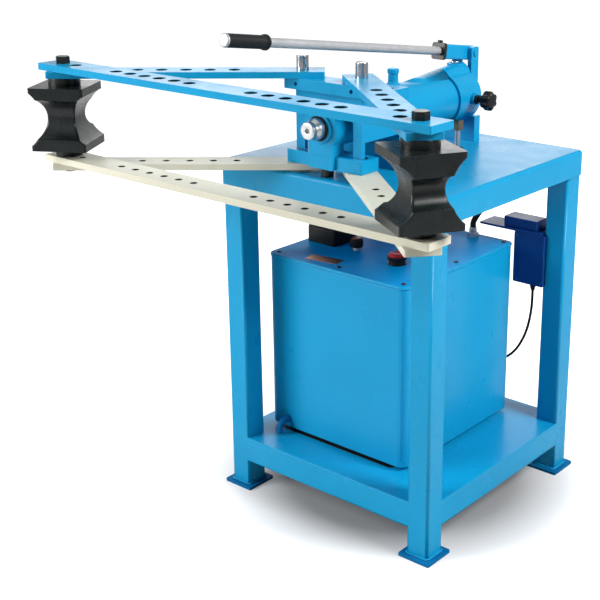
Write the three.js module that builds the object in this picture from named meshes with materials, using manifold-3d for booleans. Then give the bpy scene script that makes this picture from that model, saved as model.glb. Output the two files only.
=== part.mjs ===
// Bench pipe bender: a hydraulic cylinder lies on a tubular bench and pushes its ram out between
// two drilled wing frames that hold a pair of square forming dies. An oil tank with its pump
// stands on the bench's shelf, and a hand lever works the pump on the cylinder's rear body.
// Millimetres, +Z up. The ram points along -Y, and the right-hand side is +X.

import * as THREE from "three";
import * as BufferGeometryUtils from "three/addons/utils/BufferGeometryUtils.js";
import Module from "manifold-3d";

const wasm = await Module();
wasm.setup();

// Shared clearances and drawing fineness
const seatGap = 0.3;
const overrun = 1;
const runningGap = 0.4;
const roundSegments = 32;
const smallSegments = 12;
const cornerSegments = 2;
const drilledSides = 14;
const bevelSteps = 2;
const knobSegments = 24;
const mergeTolerance = 1e-4;

// Bench frame of square tube
const benchWidth = 626;
const benchDepth = 626;
const tubeSide = 60;
const tubeWall = 3;
const tubeRound = 7;
const footSide = 88;
const footThickness = 8;
const shelfRailBottom = 72;
const shelfThickness = 8;
const tableHeight = 865;
const tableSheet = 5;
const skirtHeight = 62;
const skirtSheet = 4.7;
const tableCornerRound = 16;
const tableEdgeRound = 9;
const pipeHoleRadius = 11;

// Oil tank on the shelf
const tankSideRoom = 194;
const tankEndRoom = 163;
const tankCentreX = -49;
const tankCentreY = 18.5;
const tankHeadroom = 261;
const tankSkidHeight = 10;
const tankSkidWidth = 30;
const tankSkidInset = 45;
const tankWall = 3;
const tankRound = 20;
const lidThickness = 8;
const lidOverhang = 2;
const lidEdgeRound = 2.5;

// Fittings on the tank's lid and wall
const terminalBoxWidth = 96;
const terminalBoxDepth = 92;
const terminalBoxHeight = 66;
const terminalBoxRound = 9;
const terminalBoxInsetX = 60;
const terminalBoxInsetY = 180;
const reliefKnobInsetX = 161;
const reliefKnobInsetY = 154;
const reliefKnobRadius = 17;
const reliefKnobHeight = 24;
const reliefStemRadius = 9;
const reliefStemHeight = 8;
const fillerInsetX = 125;
const fillerInsetY = 131;
const fillerNeckRadius = 21;
const fillerNeckHeight = 12;
const fillerCapRadius = 24;
const fillerCapHeight = 16;
const fillerHoleRadius = 16;
const drainInset = 60;
const drainRise = 35;
const drainRadius = 8;
const drainReach = 34;
const drainDrop = 28;
const drainBendRadius = 18;
const drainSteps = 12;

// Motor and pump inside the tank
const motorOffX = 61;
const motorOffY = 1.5;
const motorRadius = 78;
const strainerFloorRoom = 28.4;
const motorFlangeRadius = 92;
const motorFlangeThickness = 10;
const gearPumpSide = 84;
const gearPumpHeight = 86;
const strainerRadius = 30;
const strainerHeight = 64;
const strainerNeckRadius = 13;
const strainerNeckHeight = 22;

// Head that carries the wings and the cylinder's front end
const pinSpacing = 172;
const pinInset = 41;
const pinRadius = 14;
const headPlateDepth = 62;
const headPlateRound = 3;
const basePlateWidth = 221;
const basePlateRise = 52;
const topPlateWidth = 233;
const topPlateRise = 191;
const topPlateThickness = 26;
const lockHoleX = 81;
const lockHoleRadius = 4.5;
const lockHoleDepth = 8;
const headWidth = 194;
const headDepth = 134;
const frontPlateInset = 29;
const frontPlateThickness = 10;
const cheekThickness = 15;
const cheekRise = 88;
const windowOuterX = 71;
const windowInnerX = 35;
const windowRise = 24;
const windowRound = 8;
const bossArcSteps = 18;
const bossRadius = 50;
const bossStand = 29;
const studRadius = 14;
const studInset = 25;
const saddleDepth = 34;

// Wing frames: two layers of flat bar above and two below
const barWidth = 70;
const barThickness = 15;
const frontBarOverhang = 47;
const lowerFrontBarRise = 36.6;
const wingHoleRadius = 13.7;
const lowerHoleRadius = 8.6;
const dieX = 500;
const dieReach = 345;
const barHolePitch = 46;
const barHoleCount = 6;
const barFirstHole = 87;
const diagonalHolePitch = 54.7;
const diagonalHoleCount = 5;
const diagonalLastHole = 166;
const diagonalHeadOverhang = 50;
const diagonalDieOverhang = 34;
const barEndRound = 3;

// Forming dies
const dieSide = 127;
const dieRound = 5;
const dieBottomRise = 56;
const dieTopRise = 199;
const dieUpperBossRadius = 36;
const dieLowerBossRadius = 30;
const dieTurnRight = -31;
const dieTurnLeft = 121;
const dieBoltRadius = 13;
const dieBoltTailRadius = 8;
const dieBoltHeadAcross = 29;
const dieBoltHeadHeight = 16;
const dieNutAcross = 26;
const dieNutHeight = 8;
const smallGrooveRadius = 30;
const smallGrooveDepth = 25;
const mediumGrooveRadius = 47;
const mediumGrooveDepth = 32;
const wideGrooveRadius = 60;
const wideGrooveDepth = 33;
const largeGrooveRadius = 76;
const largeGrooveDepth = 29;

// Wing pins
const wingPinStand = 34;
const wingPinChamfer = 1.5;
const lowerPinTail = 4;

// Cylinder, ram and gland
const axisRise = 115;
const barrelRadius = 61;
const barrelLength = 290;
const neckStep = 13;
const boreWall = 16;
const boreLead = 40;
const ramRadius = 25;
const neckRadius = barrelRadius - neckStep;
const boreRadius = barrelRadius - boreWall;
const ramStand = 58;
const noseRadius = 20;
const noseLength = 15;
const noseHoleRadius = 5.5;
const noseHoleDepth = 12;
const noseChamfer = 2;
const shoulderRound = 7;
const pistonLength = 26;
const pistonRoom = 8;
const glandRadius = 35;
const glandThickness = 6;
const glandChamfer = 2;
const wiperRadius = 29;
const wiperLength = 8;
const seamGroove = 1.5;
const seamWidth = 3;
const portInset = 101;
const portRadius = 12;
const portBaseRadius = 18;
const portBaseHeight = 3;
const portRise = 88.3;
const plugRadius = 14;
const plugHeight = 12;
const plugEdge = 2;
const ribRadius = 32;
const ribFrontRise = 57;
const ribFrontInset = 110;

// Rear pump body, its foot, ears and release valve
const rearRadius = 66;
const rearLength = 103;
const rearRound = 15;
const rearFootWidth = 110;
const rearFootDepth = 25;
const rearFootRise = 65;
const pumpBossRadius = 20;
const plungerInset = 38;
const plungerRadius = 8;
const plungerHeadRadius = 11;
const plungerHeadHeight = 7;
const plungerLength = 74;
const plungerBoreDrop = 25;
const earHalfGap = 18.5;
const earThickness = 11;
const earLap = 8;
const earReach = 24;
const earTopRise = 120;
const earBottomRise = 32;
const earRound = 6;
const hingeReach = 8;
const hingeRise = 103.7;
const hingePinRadius = 6;
const hingePinHead = 3;
const hingePinHeadRadius = 7.5;
const valveInset = 48;
const valveBossRadius = 15;
const valveBossReach = 74;
const valveStemRadius = 5.5;
const valveStemStart = 44;
const valveKnobStart = 97;
const valveKnobLength = 27;
const valveKnobRadius = 24.5;
const valveKnobLobes = 6;
const valveLobePoints = 5;
const valveKnobLobeDepth = 3.2;
const valveKnobEdge = 3;

// Lever in its own frame: the hinge is the zero point and the lever runs along -Y
const leverTilt = 8.1;
const socketWidth = 34;
const socketHeight = 37;
const socketFront = -121;
const socketRear = 13;
const socketRound = 5;
const leverTubeRadius = 10.5;
const leverTubeWall = 2.5;
const leverTubeRear = -52;
const leverTubeFront = -848;
const gripRear = -736;
const gripFront = -855;
const gripRadius = 14.5;
const gripFlangeRadius = 17;
const gripFlangeLength = 9;
const capFront = -861;
const capRadius = 14.5;
const capRound = 2.5;
const capStemRadius = 7.4;
const setScrewRadius = 4;
const setScrewHeadRadius = 6.5;
const setScrewHeadHeight = 6;
const setScrewInset = 5.5;
const collarLength = 11;
const collarWall = 2;

// Oil line from the tank's lid through the table to the barrel
const linePortX = 66;
const linePortInset = 12;
const elbowSide = 20;
const elbowHeight = 24;
const elbowSink = 6;
const elbowSpigotRadius = 6.5;
const elbowSpigotShare = 0.6;
const riserRadius = 7;
const bulkheadAcross = 26;
const bulkheadHeight = 16;
const hoseElbowSide = 20;
const hoseElbowReach = 24;
const lidFittingInsetX = 109;
const lidFittingInsetY = 28;
const lidFittingAcross = 27;
const lidFittingHeight = 26;
const lidFittingRound = 10;
const hoseRadius = 8;
const hoseBulge = 59.7;
const hoseSides = 10;
const hoseSteps = 22;

// Electric box beside the rear right leg
const shelfPlateWidth = 184.7;
const shelfPlateFrontInset = 75;
const shelfPlateRearInset = 7;
const shelfPlateDrop = 213;
const shelfPlateThickness = 6;
const contactorInset = 18.7;
const contactorWidth = 98;
const contactorSetback = 8;
const contactorDepth = 50;
const contactorHeight = 26;
const contactorRound = 3;
const switchBoxWidth = 80.7;
const switchBoxHeight = 142;
const switchBoxDepth = 44;
const switchBoxRound = 4;
const coverThickness = 13;
const coverLap = 9;
const coverRound = 3;

// Motor lead from the electric box to the tank's rear wall
const leadDiameter = 7;
const leadSides = 8;
const leadSteps = 44;
const glandNutAcross = 16;
const glandBodyLength = 26;
const glandTaperShare = 0.62;
const leadGlandInset = 40;
const leadGlandSetback = 39;
const entryHousingOff = 57;
const entryHousingWidth = 56;
const entryHousingDepth = 48;
const entryHousingHeight = 60;
const entryHousingDrop = 172;
const entryHousingRound = 5;

// Materials
function paint(colour, roughness, metalness) {
  return new THREE.MeshStandardMaterial({ color: colour, roughness, metalness });
}
const bluePaint = paint(0x1e8fd0, 0.35, 0.1);
const darkBluePaint = paint(0x123f86, 0.4, 0.1);
const creamPaint = paint(0xdcd8c6, 0.45, 0.1);
const castBlack = paint(0x23272a, 0.5, 0.6);
const polishedSteel = paint(0xb9bcc0, 0.2, 1);
const satinSteel = paint(0x9a9ca0, 0.35, 1);
const blackRubber = paint(0x17181a, 0.7, 0);
const blackPlastic = paint(0x101113, 0.4, 0);
const redPlastic = paint(0xb01f2a, 0.4, 0);
const brassMetal = paint(0xb08a4a, 0.3, 1);

// Everything is gathered in this group, which is moved to its own origin at the end
const pipeBender = new THREE.Group();

// Turning a closed geometry into a solid that can be cut and joined, and back again
function solidOf(geometry) {
  const bare = geometry.clone();
  bare.deleteAttribute("normal");
  bare.deleteAttribute("uv");
  const merged = BufferGeometryUtils.mergeVertices(bare, mergeTolerance);
  const mesh = new wasm.Mesh({
    numProp: 3,
    vertProperties: new Float32Array(merged.attributes.position.array),
    triVerts: new Uint32Array(merged.index.array),
  });
  return new wasm.Manifold(mesh);
}

function geometryOf(solid) {
  const mesh = solid.getMesh();
  const geometry = new THREE.BufferGeometry();
  geometry.setAttribute("position", new THREE.BufferAttribute(mesh.vertProperties, 3));
  geometry.setIndex(new THREE.BufferAttribute(mesh.triVerts, 1));
  geometry.computeVertexNormals();
  return geometry;
}

function join(...geometries) {
  return geometryOf(geometries.map(solidOf).reduce((whole, piece) => whole.add(piece)));
}

function cut(geometry, ...cutters) {
  return geometryOf(cutters.map(solidOf).reduce((whole, piece) => whole.subtract(piece), solidOf(geometry)));
}

function addPiece(name, geometry, material, parent = pipeBender) {
  const mesh = new THREE.Mesh(geometry, material);
  mesh.name = name;
  parent.add(mesh);
  return mesh;
}

// Basic forms, placed by their limits or by the middle of an end face
function block(x0, x1, y0, y1, z0, z1) {
  const geometry = new THREE.BoxGeometry(x1 - x0, y1 - y0, z1 - z0);
  return geometry.translate((x0 + x1) / 2, (y0 + y1) / 2, (z0 + z1) / 2);
}

function roundedOutline(width, depth, radius, path = new THREE.Shape()) {
  const x = width / 2;
  const y = depth / 2;
  path.moveTo(-x + radius, -y);
  path.lineTo(x - radius, -y);
  path.absarc(x - radius, -y + radius, radius, -Math.PI / 2, 0, false);
  path.lineTo(x, y - radius);
  path.absarc(x - radius, y - radius, radius, 0, Math.PI / 2, false);
  path.lineTo(-x + radius, y);
  path.absarc(-x + radius, y - radius, radius, Math.PI / 2, Math.PI, false);
  path.lineTo(-x, -y + radius);
  path.absarc(-x + radius, -y + radius, radius, Math.PI, Math.PI * 1.5, false);
  return path;
}

// A drilled hole's outline: its flats, not its corners, keep the named radius
function holeOutline(x, y, radius) {
  const corner = radius / Math.cos(Math.PI / drilledSides);
  const points = [];
  for (let side = 0; side < drilledSides; side += 1) {
    const angle = (side * Math.PI * 2) / drilledSides;
    points.push(new THREE.Vector2(x + corner * Math.cos(angle), y + corner * Math.sin(angle)));
  }
  return new THREE.Path(points);
}

function upright(shape, bottom, top, segments = cornerSegments) {
  const geometry = new THREE.ExtrudeGeometry(shape, {
    depth: top - bottom,
    bevelEnabled: false,
    curveSegments: segments,
  });
  return geometry.translate(0, 0, bottom);
}

// An upright slab whose top and bottom edges are rounded over
function softSlab(shape, bottom, top, edge, segments = cornerSegments) {
  const geometry = new THREE.ExtrudeGeometry(shape, {
    depth: top - bottom - edge * 2,
    bevelEnabled: true,
    bevelThickness: edge,
    bevelSize: edge,
    bevelOffset: -edge,
    bevelSegments: bevelSteps,
    curveSegments: segments,
  });
  return geometry.translate(0, 0, bottom + edge);
}

function rodZ(x, y, radius, bottom, top, segments = roundSegments) {
  const geometry = new THREE.CylinderGeometry(radius, radius, top - bottom, segments);
  return geometry.rotateX(Math.PI / 2).translate(x, y, (bottom + top) / 2);
}

function rodY(x, z, radius, front, rear, segments = roundSegments) {
  const geometry = new THREE.CylinderGeometry(radius, radius, rear - front, segments);
  return geometry.translate(x, (front + rear) / 2, z);
}

function rodX(y, z, radius, left, right, segments = roundSegments) {
  const geometry = new THREE.CylinderGeometry(radius, radius, right - left, segments);
  return geometry.rotateZ(Math.PI / 2).translate((left + right) / 2, y, z);
}

// Cutters for bores: the same rods, widened so that their flats keep the named radius
function widened(radius, segments) {
  return radius / Math.cos(Math.PI / segments);
}

function holeZ(x, y, radius, bottom, top, segments = roundSegments) {
  return rodZ(x, y, widened(radius, segments), bottom, top, segments);
}

function holeY(x, z, radius, front, rear, segments = roundSegments) {
  return rodY(x, z, widened(radius, segments), front, rear, segments);
}

function holeX(y, z, radius, left, right, segments = roundSegments) {
  return rodX(y, z, widened(radius, segments), left, right, segments);
}

// A turned piece along +Z: the profile is a list of [radius, height] that ends on the axis
function turned(profile, segments = roundSegments) {
  const points = profile.map(([radius, height]) => new THREE.Vector2(radius, height));
  return new THREE.LatheGeometry(points, segments).rotateX(Math.PI / 2);
}

// The same piece laid along +Y, with its heights as places on that axis
function turnedAlongY(profile, segments = roundSegments) {
  return turned(profile, segments).rotateX(-Math.PI / 2);
}

function hexagon(across) {
  const shape = new THREE.Shape();
  const corner = across / Math.sqrt(3);
  for (let side = 0; side < 6; side += 1) {
    const angle = (side * Math.PI) / 3;
    const point = [corner * Math.cos(angle), corner * Math.sin(angle)];
    if (side === 0) shape.moveTo(...point);
    else shape.lineTo(...point);
  }
  shape.closePath();
  return shape;
}

// Places that several pieces share
const halfWidth = benchWidth / 2;
const halfDepth = benchDepth / 2;
const legX = halfWidth - tubeSide / 2;
const legY = halfDepth - tubeSide / 2;
const shelfBottom = shelfRailBottom + tubeSide;
const shelfTop = shelfBottom + shelfThickness;
const tableUnder = tableHeight - tableSheet;
const tankBottom = shelfTop + tankSkidHeight;
const tankTop = tableHeight - tankHeadroom;
const lidTop = tankTop + seatGap + lidThickness;
const drainHeight = shelfTop + drainRise;
const strainerBottom = tankBottom + tankWall + strainerFloorRoom;
const innerPumpHeight = strainerHeight + strainerNeckHeight + gearPumpHeight + seatGap * 2;
const motorLength = tankTop - motorFlangeThickness - strainerBottom - innerPumpHeight;
const legFace = halfWidth - tubeSide - seatGap;
const legFront = halfDepth - tubeSide - seatGap;
const tankWidth = benchWidth - tankSideRoom;
const tankDepth = benchDepth - tankEndRoom;
const tankLeft = tankCentreX - tankWidth / 2;
const tankRight = tankCentreX + tankWidth / 2;
const tankFront = tankCentreY - tankDepth / 2;
const tankRear = tankCentreY + tankDepth / 2;
const motorX = tankCentreX - motorOffX;
const motorY = tankCentreY + motorOffY;
const pinX = pinSpacing / 2;
const pinY = pinInset - halfDepth;
const dieY = pinY - dieReach;
const frontBarLength = (dieX + frontBarOverhang) * 2;
const topPlateBottom = tableHeight + topPlateRise;
const topPlateTop = topPlateBottom + topPlateThickness;
const upperFrontBarTop = topPlateTop + barThickness * 2;
const upperDiagonalTop = upperFrontBarTop - barThickness;
const lowerFrontBarTop = tableHeight + lowerFrontBarRise;
const lowerDiagonalTop = lowerFrontBarTop - barThickness;
const basePlateTop = tableHeight + basePlateRise;
const basePlateBottom = lowerDiagonalTop + seatGap;
const dieBottom = tableHeight + dieBottomRise;
const dieTop = tableHeight + dieTopRise;
const axisHeight = tableHeight + axisRise;
const frontPlateFace = frontPlateInset - halfDepth;
const neckFront = frontPlateFace + frontPlateThickness;
const bossFront = frontPlateFace - bossStand;
const cheekRear = frontPlateFace + headDepth;
const barrelFront = cheekRear;
const barrelRear = barrelFront + barrelLength;
const ramFront = frontPlateFace - ramStand;
const rearEnd = barrelRear + rearLength;
const plungerY = rearEnd - plungerInset;
const valveY = rearEnd - valveInset;
const earBottom = axisHeight + earBottomRise;
const earTop = axisHeight + earTopRise;
const hingeY = rearEnd + hingeReach;
const hingeZ = axisHeight + hingeRise;
const tilt = THREE.MathUtils.degToRad(leverTilt);
const socketUnder = hingeZ + (hingeY - plungerY) * Math.tan(tilt) - socketHeight / 2 / Math.cos(tilt);
const plungerTop = socketUnder - (plungerHeadRadius * 2 / 3) * Math.tan(tilt) - seatGap;
const pumpBossTop = plungerTop - plungerHeadHeight - seatGap;
const linePortY = barrelRear - linePortInset;
const elbowZ = axisHeight - barrelRadius + elbowSink;
const shelfPlateTop = tableHeight - shelfPlateDrop;
const shelfPlateFront = halfDepth - shelfPlateFrontInset;
const switchBoxLeft = legFace - switchBoxWidth;
const switchBoxBottom = shelfPlateTop - switchBoxHeight;
const sides = [["left", -1], ["right", 1]];
const ends = [["front", -1], ["rear", 1]];

// Bench: four legs welded to their foot plates, the shelf on its four rails, and the folded table top
function tubeOutline() {
  const shape = roundedOutline(tubeSide, tubeSide, tubeRound);
  const inner = tubeSide - tubeWall * 2;
  shape.holes.push(roundedOutline(inner, inner, tubeRound - tubeWall, new THREE.Path()));
  return shape;
}

function buildLegs() {
  for (const [end, endSign] of ends) {
    for (const [side, sideSign] of sides) {
      const tube = upright(tubeOutline(), footThickness - tubeWall, tableUnder);
      const plate = upright(roundedOutline(footSide, footSide, tubeWall), 0, footThickness, 2);
      const leg = addPiece(`leg_${end}_${side}`, join(tube, plate), bluePaint);
      leg.position.set(sideSign * legX, endSign * legY, 0);
    }
  }
}

function shelfRails() {
  const alongX = benchWidth - tubeSide * 2 - seatGap * 2;
  const alongY = benchDepth - tubeSide * 2 - seatGap * 2;
  const railZ = shelfRailBottom + tubeSide / 2;
  const rails = [];
  for (const sign of [-1, 1]) {
    const across = upright(tubeOutline(), -alongX / 2, alongX / 2).rotateY(Math.PI / 2);
    rails.push(across.translate(0, sign * legY, railZ));
    const along = upright(tubeOutline(), -alongY / 2, alongY / 2).rotateX(Math.PI / 2);
    rails.push(along.translate(sign * legX, 0, railZ));
  }
  return rails;
}

function buildShelf() {
  const notch = tubeSide + seatGap;
  const x = halfWidth - notch;
  const y = halfDepth - notch;
  const corners = [
    [-x, -halfDepth], [x, -halfDepth], [x, -y], [halfWidth, -y], [halfWidth, y], [x, y],
    [x, halfDepth], [-x, halfDepth], [-x, y], [-halfWidth, y], [-halfWidth, -y], [-x, -y],
  ];
  const shape = new THREE.Shape(corners.map(([cornerX, cornerY]) => new THREE.Vector2(cornerX, cornerY)));
  const plate = upright(shape, shelfBottom - tubeWall / 2, shelfTop);
  addPiece("shelf", join(plate, ...shelfRails()), bluePaint);
}

function buildTableTop() {
  const innerWidth = benchWidth + seatGap * 2;
  const innerDepth = benchDepth + seatGap * 2;
  const outline = roundedOutline(innerWidth + skirtSheet * 2, innerDepth + skirtSheet * 2, tableCornerRound);
  const skirtBottom = tableHeight - skirtHeight;
  const slab = softSlab(outline, skirtBottom - tableEdgeRound, tableHeight, tableEdgeRound);
  const reach = benchWidth + benchDepth;
  const below = block(-reach, reach, -reach, reach, skirtBottom - tableHeight, skirtBottom);
  const hollow = upright(
    roundedOutline(innerWidth, innerDepth, tubeRound),
    skirtBottom - overrun,
    tableUnder + seatGap,
  );
  const above = tableHeight + overrun;
  const pipeHole = holeZ(linePortX, linePortY, pipeHoleRadius, tableUnder, above, smallSegments);
  addPiece("table_top", cut(slab, below, hollow, pipeHole), bluePaint);
}

// Tank: folded shell on two skids, a flat lid, and the motor and pump that hang in the oil
function buildTank() {
  const inside = roundedOutline(tankWidth - tankWall * 2, tankDepth - tankWall * 2, tankRound - tankWall);
  const shell = upright(roundedOutline(tankWidth, tankDepth, tankRound), tankBottom, tankTop);
  const hollow = upright(inside, tankBottom + tankWall, tankTop + overrun);
  const skidX = tankWidth / 2 - tankSkidInset;
  const skidY = tankDepth / 2 - tankSkidInset;
  const half = tankSkidWidth / 2;
  const skids = [-skidX, skidX].map((x) =>
    block(x - half, x + half, -skidY, skidY, shelfTop, tankBottom + tankWall / 2));
  const tank = addPiece("tank_shell", join(cut(shell, hollow), ...skids), bluePaint);
  tank.position.set(tankCentreX, tankCentreY, 0);
}

function buildLid() {
  const grow = lidOverhang * 2;
  const outline = roundedOutline(tankWidth + grow, tankDepth + grow, tankRound + lidOverhang);
  const slab = softSlab(outline, tankTop + seatGap, lidTop, lidEdgeRound);
  slab.translate(tankCentreX, tankCentreY, 0);
  const neckTop = lidTop + fillerNeckHeight;
  const [fillerX, fillerY] = [tankRight - fillerInsetX, tankFront + fillerInsetY];
  const [knobX, knobY] = [tankLeft + reliefKnobInsetX, tankFront + reliefKnobInsetY];
  const filler = holeZ(fillerX, fillerY, fillerHoleRadius, tankTop - overrun, neckTop + overrun);
  const stemTop = lidTop + reliefStemHeight;
  const stem = rodZ(knobX, knobY, reliefStemRadius, lidTop - overrun, stemTop, smallSegments);
  const neck = rodZ(fillerX, fillerY, fillerNeckRadius, lidTop - overrun, neckTop);
  addPiece("tank_lid", cut(join(slab, stem, neck), filler), bluePaint);
}

function buildInnerPump() {
  const flangeTop = tankTop;
  const motorTop = flangeTop - motorFlangeThickness;
  const motorBottom = motorTop - motorLength;
  const motor = join(
    rodZ(motorX, motorY, motorFlangeRadius, motorTop, flangeTop),
    rodZ(motorX, motorY, motorRadius, motorBottom, motorTop + overrun),
  );
  addPiece("pump_motor", motor, satinSteel);
  const pumpTop = motorBottom - seatGap;
  const pumpBottom = pumpTop - gearPumpHeight;
  const half = gearPumpSide / 2;
  const pump = block(motorX - half, motorX + half, motorY - half, motorY + half, pumpBottom, pumpTop);
  addPiece("gear_pump", pump, satinSteel);
  const neckTop = pumpBottom - seatGap;
  const neckBottom = neckTop - strainerNeckHeight;
  const strainer = join(
    rodZ(motorX, motorY, strainerNeckRadius, neckBottom - overrun, neckTop, smallSegments),
    rodZ(motorX, motorY, strainerRadius, neckBottom - strainerHeight, neckBottom, smallSegments),
  );
  addPiece("suction_strainer", strainer, satinSteel);
}

function buildLidFittings() {
  const seat = lidTop + seatGap;
  const boxShape = roundedOutline(terminalBoxWidth, terminalBoxDepth, terminalBoxRound);
  const terminalBox = addPiece(
    "motor_terminal_box",
    softSlab(boxShape, seat, seat + terminalBoxHeight, terminalBoxRound / 3),
    blackPlastic,
  );
  terminalBox.position.set(tankLeft + terminalBoxInsetX, tankFront + terminalBoxInsetY, 0);

  const knobBottom = lidTop + reliefStemHeight + seatGap;
  const knobForm = turnedKnob(reliefKnobRadius, knobBottom, reliefKnobHeight);
  const knob = addPiece("relief_knob", knobForm, blackPlastic);
  knob.position.set(tankLeft + reliefKnobInsetX, tankFront + reliefKnobInsetY, 0);

  const capBottom = lidTop + fillerNeckHeight + seatGap;
  const cap = addPiece("filler_cap", turnedKnob(fillerCapRadius, capBottom, fillerCapHeight), redPlastic);
  cap.position.set(tankRight - fillerInsetX, tankFront + fillerInsetY, 0);
}

// A round knob with a soft upper edge and a shallow dished top
function turnedKnob(radius, bottom, height) {
  const edge = height / 5;
  const profile = [
    [0, bottom],
    [radius - edge / 2, bottom],
    [radius, bottom + edge / 2],
    [radius, bottom + height - edge],
    [radius - edge / 3, bottom + height - edge / 3],
    [radius - edge, bottom + height],
    [radius / 2, bottom + height],
    [radius / 3, bottom + height - edge / 3],
    [0, bottom + height - edge / 3],
  ];
  return turned(profile, knobSegments);
}

// The drain cock leaves the tank's front wall and turns down in a quarter bend
function buildDrain() {
  const wall = tankFront - seatGap;
  const bend = new THREE.CurvePath();
  const out = wall - drainReach + drainBendRadius;
  bend.add(new THREE.LineCurve3(
    new THREE.Vector3(0, wall, drainHeight),
    new THREE.Vector3(0, out, drainHeight),
  ));
  bend.add(new THREE.QuadraticBezierCurve3(
    new THREE.Vector3(0, out, drainHeight),
    new THREE.Vector3(0, out - drainBendRadius, drainHeight),
    new THREE.Vector3(0, out - drainBendRadius, drainHeight - drainBendRadius),
  ));
  bend.add(new THREE.LineCurve3(
    new THREE.Vector3(0, out - drainBendRadius, drainHeight - drainBendRadius),
    new THREE.Vector3(0, out - drainBendRadius, drainHeight - drainDrop),
  ));
  const line = new THREE.CatmullRomCurve3(bend.getSpacedPoints(drainSteps));
  const pipe = sweep(line, drainRadius, hoseSides, drainSteps);
  const drain = addPiece("drain_elbow", pipe, darkBluePaint);
  drain.position.x = tankLeft + drainInset;
}

// A round bar along a curve, closed at both ends
function sweep(curve, radius, sideCount, steps) {
  const section = new THREE.Shape();
  for (let side = 0; side < sideCount; side += 1) {
    const angle = (side * Math.PI * 2) / sideCount;
    const point = [radius * Math.cos(angle), radius * Math.sin(angle)];
    if (side === 0) section.moveTo(...point);
    else section.lineTo(...point);
  }
  section.closePath();
  return new THREE.ExtrudeGeometry(section, { extrudePath: curve, steps, bevelEnabled: false });
}

// Head: base plate and top plate, each drilled for the two wing pins
function headPlateOutline(width) {
  const shape = roundedOutline(width, headPlateDepth, headPlateRound);
  for (const x of [-pinX, pinX]) shape.holes.push(holeOutline(x, 0, pinRadius + runningGap));
  return shape;
}

function buildHeadPlates() {
  const face = pinY - headPlateDepth / 2;
  const base = upright(headPlateOutline(basePlateWidth), basePlateBottom, basePlateTop).translate(0, pinY, 0);
  const tongue = block(-windowInnerX, windowInnerX, bossFront, face + overrun, basePlateBottom, basePlateTop);
  addPiece("head_base_plate", join(base, tongue), bluePaint);
  const top = upright(headPlateOutline(topPlateWidth), topPlateBottom, topPlateTop).translate(0, pinY, 0);
  const middle = (topPlateBottom + topPlateTop) / 2;
  const lockHoles = [-lockHoleX, lockHoleX].map((x) =>
    holeY(x, middle, lockHoleRadius, face - overrun, face + lockHoleDepth, smallSegments));
  addPiece("head_top_plate", cut(top, ...lockHoles), bluePaint);
}

// Points of the arc round the boss's upper part, from the right-hand side to the left
function bossArc(radius, startAngle, endAngle) {
  const points = [];
  for (let step = 0; step <= bossArcSteps; step += 1) {
    const angle = startAngle + ((endAngle - startAngle) * step) / bossArcSteps;
    points.push([radius * Math.cos(angle), axisHeight + radius * Math.sin(angle)]);
  }
  return points;
}

// A prism through the front of the head, from an outline of [x, z] points
function frontPrism(points, front, rear) {
  const shape = new THREE.Shape(points.map(([x, z]) => new THREE.Vector2(x, z)));
  const prism = new THREE.ExtrudeGeometry(shape, { depth: rear - front, bevelEnabled: false });
  return prism.rotateX(Math.PI / 2).translate(0, rear, 0);
}

// One window: open at the plate's lower edge, straight on its outer side, round the boss inside
function windowCutter(sign) {
  const windowTop = axisHeight + windowRise;
  const innerX = windowInnerX + overrun;
  const radius = bossRadius + overrun;
  const low = basePlateTop - overrun;
  const outline = [
    [innerX, low],
    [windowOuterX, low],
    [windowOuterX, windowTop - windowRound],
    [windowOuterX - windowRound, windowTop],
    ...bossArc(radius, Math.asin(windowRise / radius), -Math.acos(innerX / radius)),
  ];
  const points = outline.map(([x, z]) => [sign * x, z]);
  return frontPrism(points, frontPlateFace - overrun, neckFront + overrun);
}

// What is cut away in front of the plate, so that the round boss and its pedestal stand forward
function forwardCutter() {
  const startAngle = -Math.acos(windowInnerX / bossRadius);
  const side = headWidth;
  const low = tableHeight - overrun;
  const high = topPlateTop;
  const points = [
    [windowInnerX, low],
    [side, low],
    [side, high],
    [-side, high],
    [-side, low],
    [-windowInnerX, low],
    ...bossArc(bossRadius, startAngle, Math.PI - startAngle).reverse(),
  ];
  return frontPrism(points, bossFront - overrun, frontPlateFace);
}

// The head casting: windowed front plate, two cheeks, and the saddle that stands on the table
function buildHeadCasting() {
  const half = headWidth / 2;
  const bottom = tableHeight - overrun;
  const plateBottom = basePlateTop + seatGap;
  const top = topPlateBottom - seatGap;
  const saddleRear = cheekRear + saddleDepth;
  const side = half + overrun;
  const inner = half - cheekThickness;
  const neckHole = barrelRadius + seatGap;
  const casting = cut(
    block(-half, half, bossFront, saddleRear, tableHeight, top),
    forwardCutter(),
    block(-side, side, bossFront - overrun, neckFront + overrun, bottom, plateBottom),
    block(-side, side, neckFront, cheekRear, bottom, tableHeight + cheekRise),
    block(-inner, inner, neckFront, cheekRear, bottom, top + overrun),
    ...sides.map(([, sign]) => windowCutter(sign)),
    holeY(0, axisHeight, ramRadius + runningGap, bossFront - overrun, neckFront + overrun),
    holeY(0, axisHeight, neckHole, cheekRear - overrun, saddleRear + overrun),
  );
  addPiece("head_casting", casting, bluePaint);
  const studY = studInset - halfDepth;
  const stud = rodZ(0, studY, studRadius, tableHeight, basePlateBottom - seatGap, smallSegments);
  addPiece("support_stud", stud, castBlack);
}

// Wings: a front bar and two diagonals in each frame, drilled alike
function barOutline(from, to) {
  const half = barWidth / 2;
  const corner = half - barEndRound;
  const points = [
    [from + barEndRound, -half], [to - barEndRound, -half], [to, -corner], [to, corner],
    [to - barEndRound, half], [from + barEndRound, half], [from, corner], [from, -corner],
  ];
  return new THREE.Shape(points.map(([x, y]) => new THREE.Vector2(x, y)));
}

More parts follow.
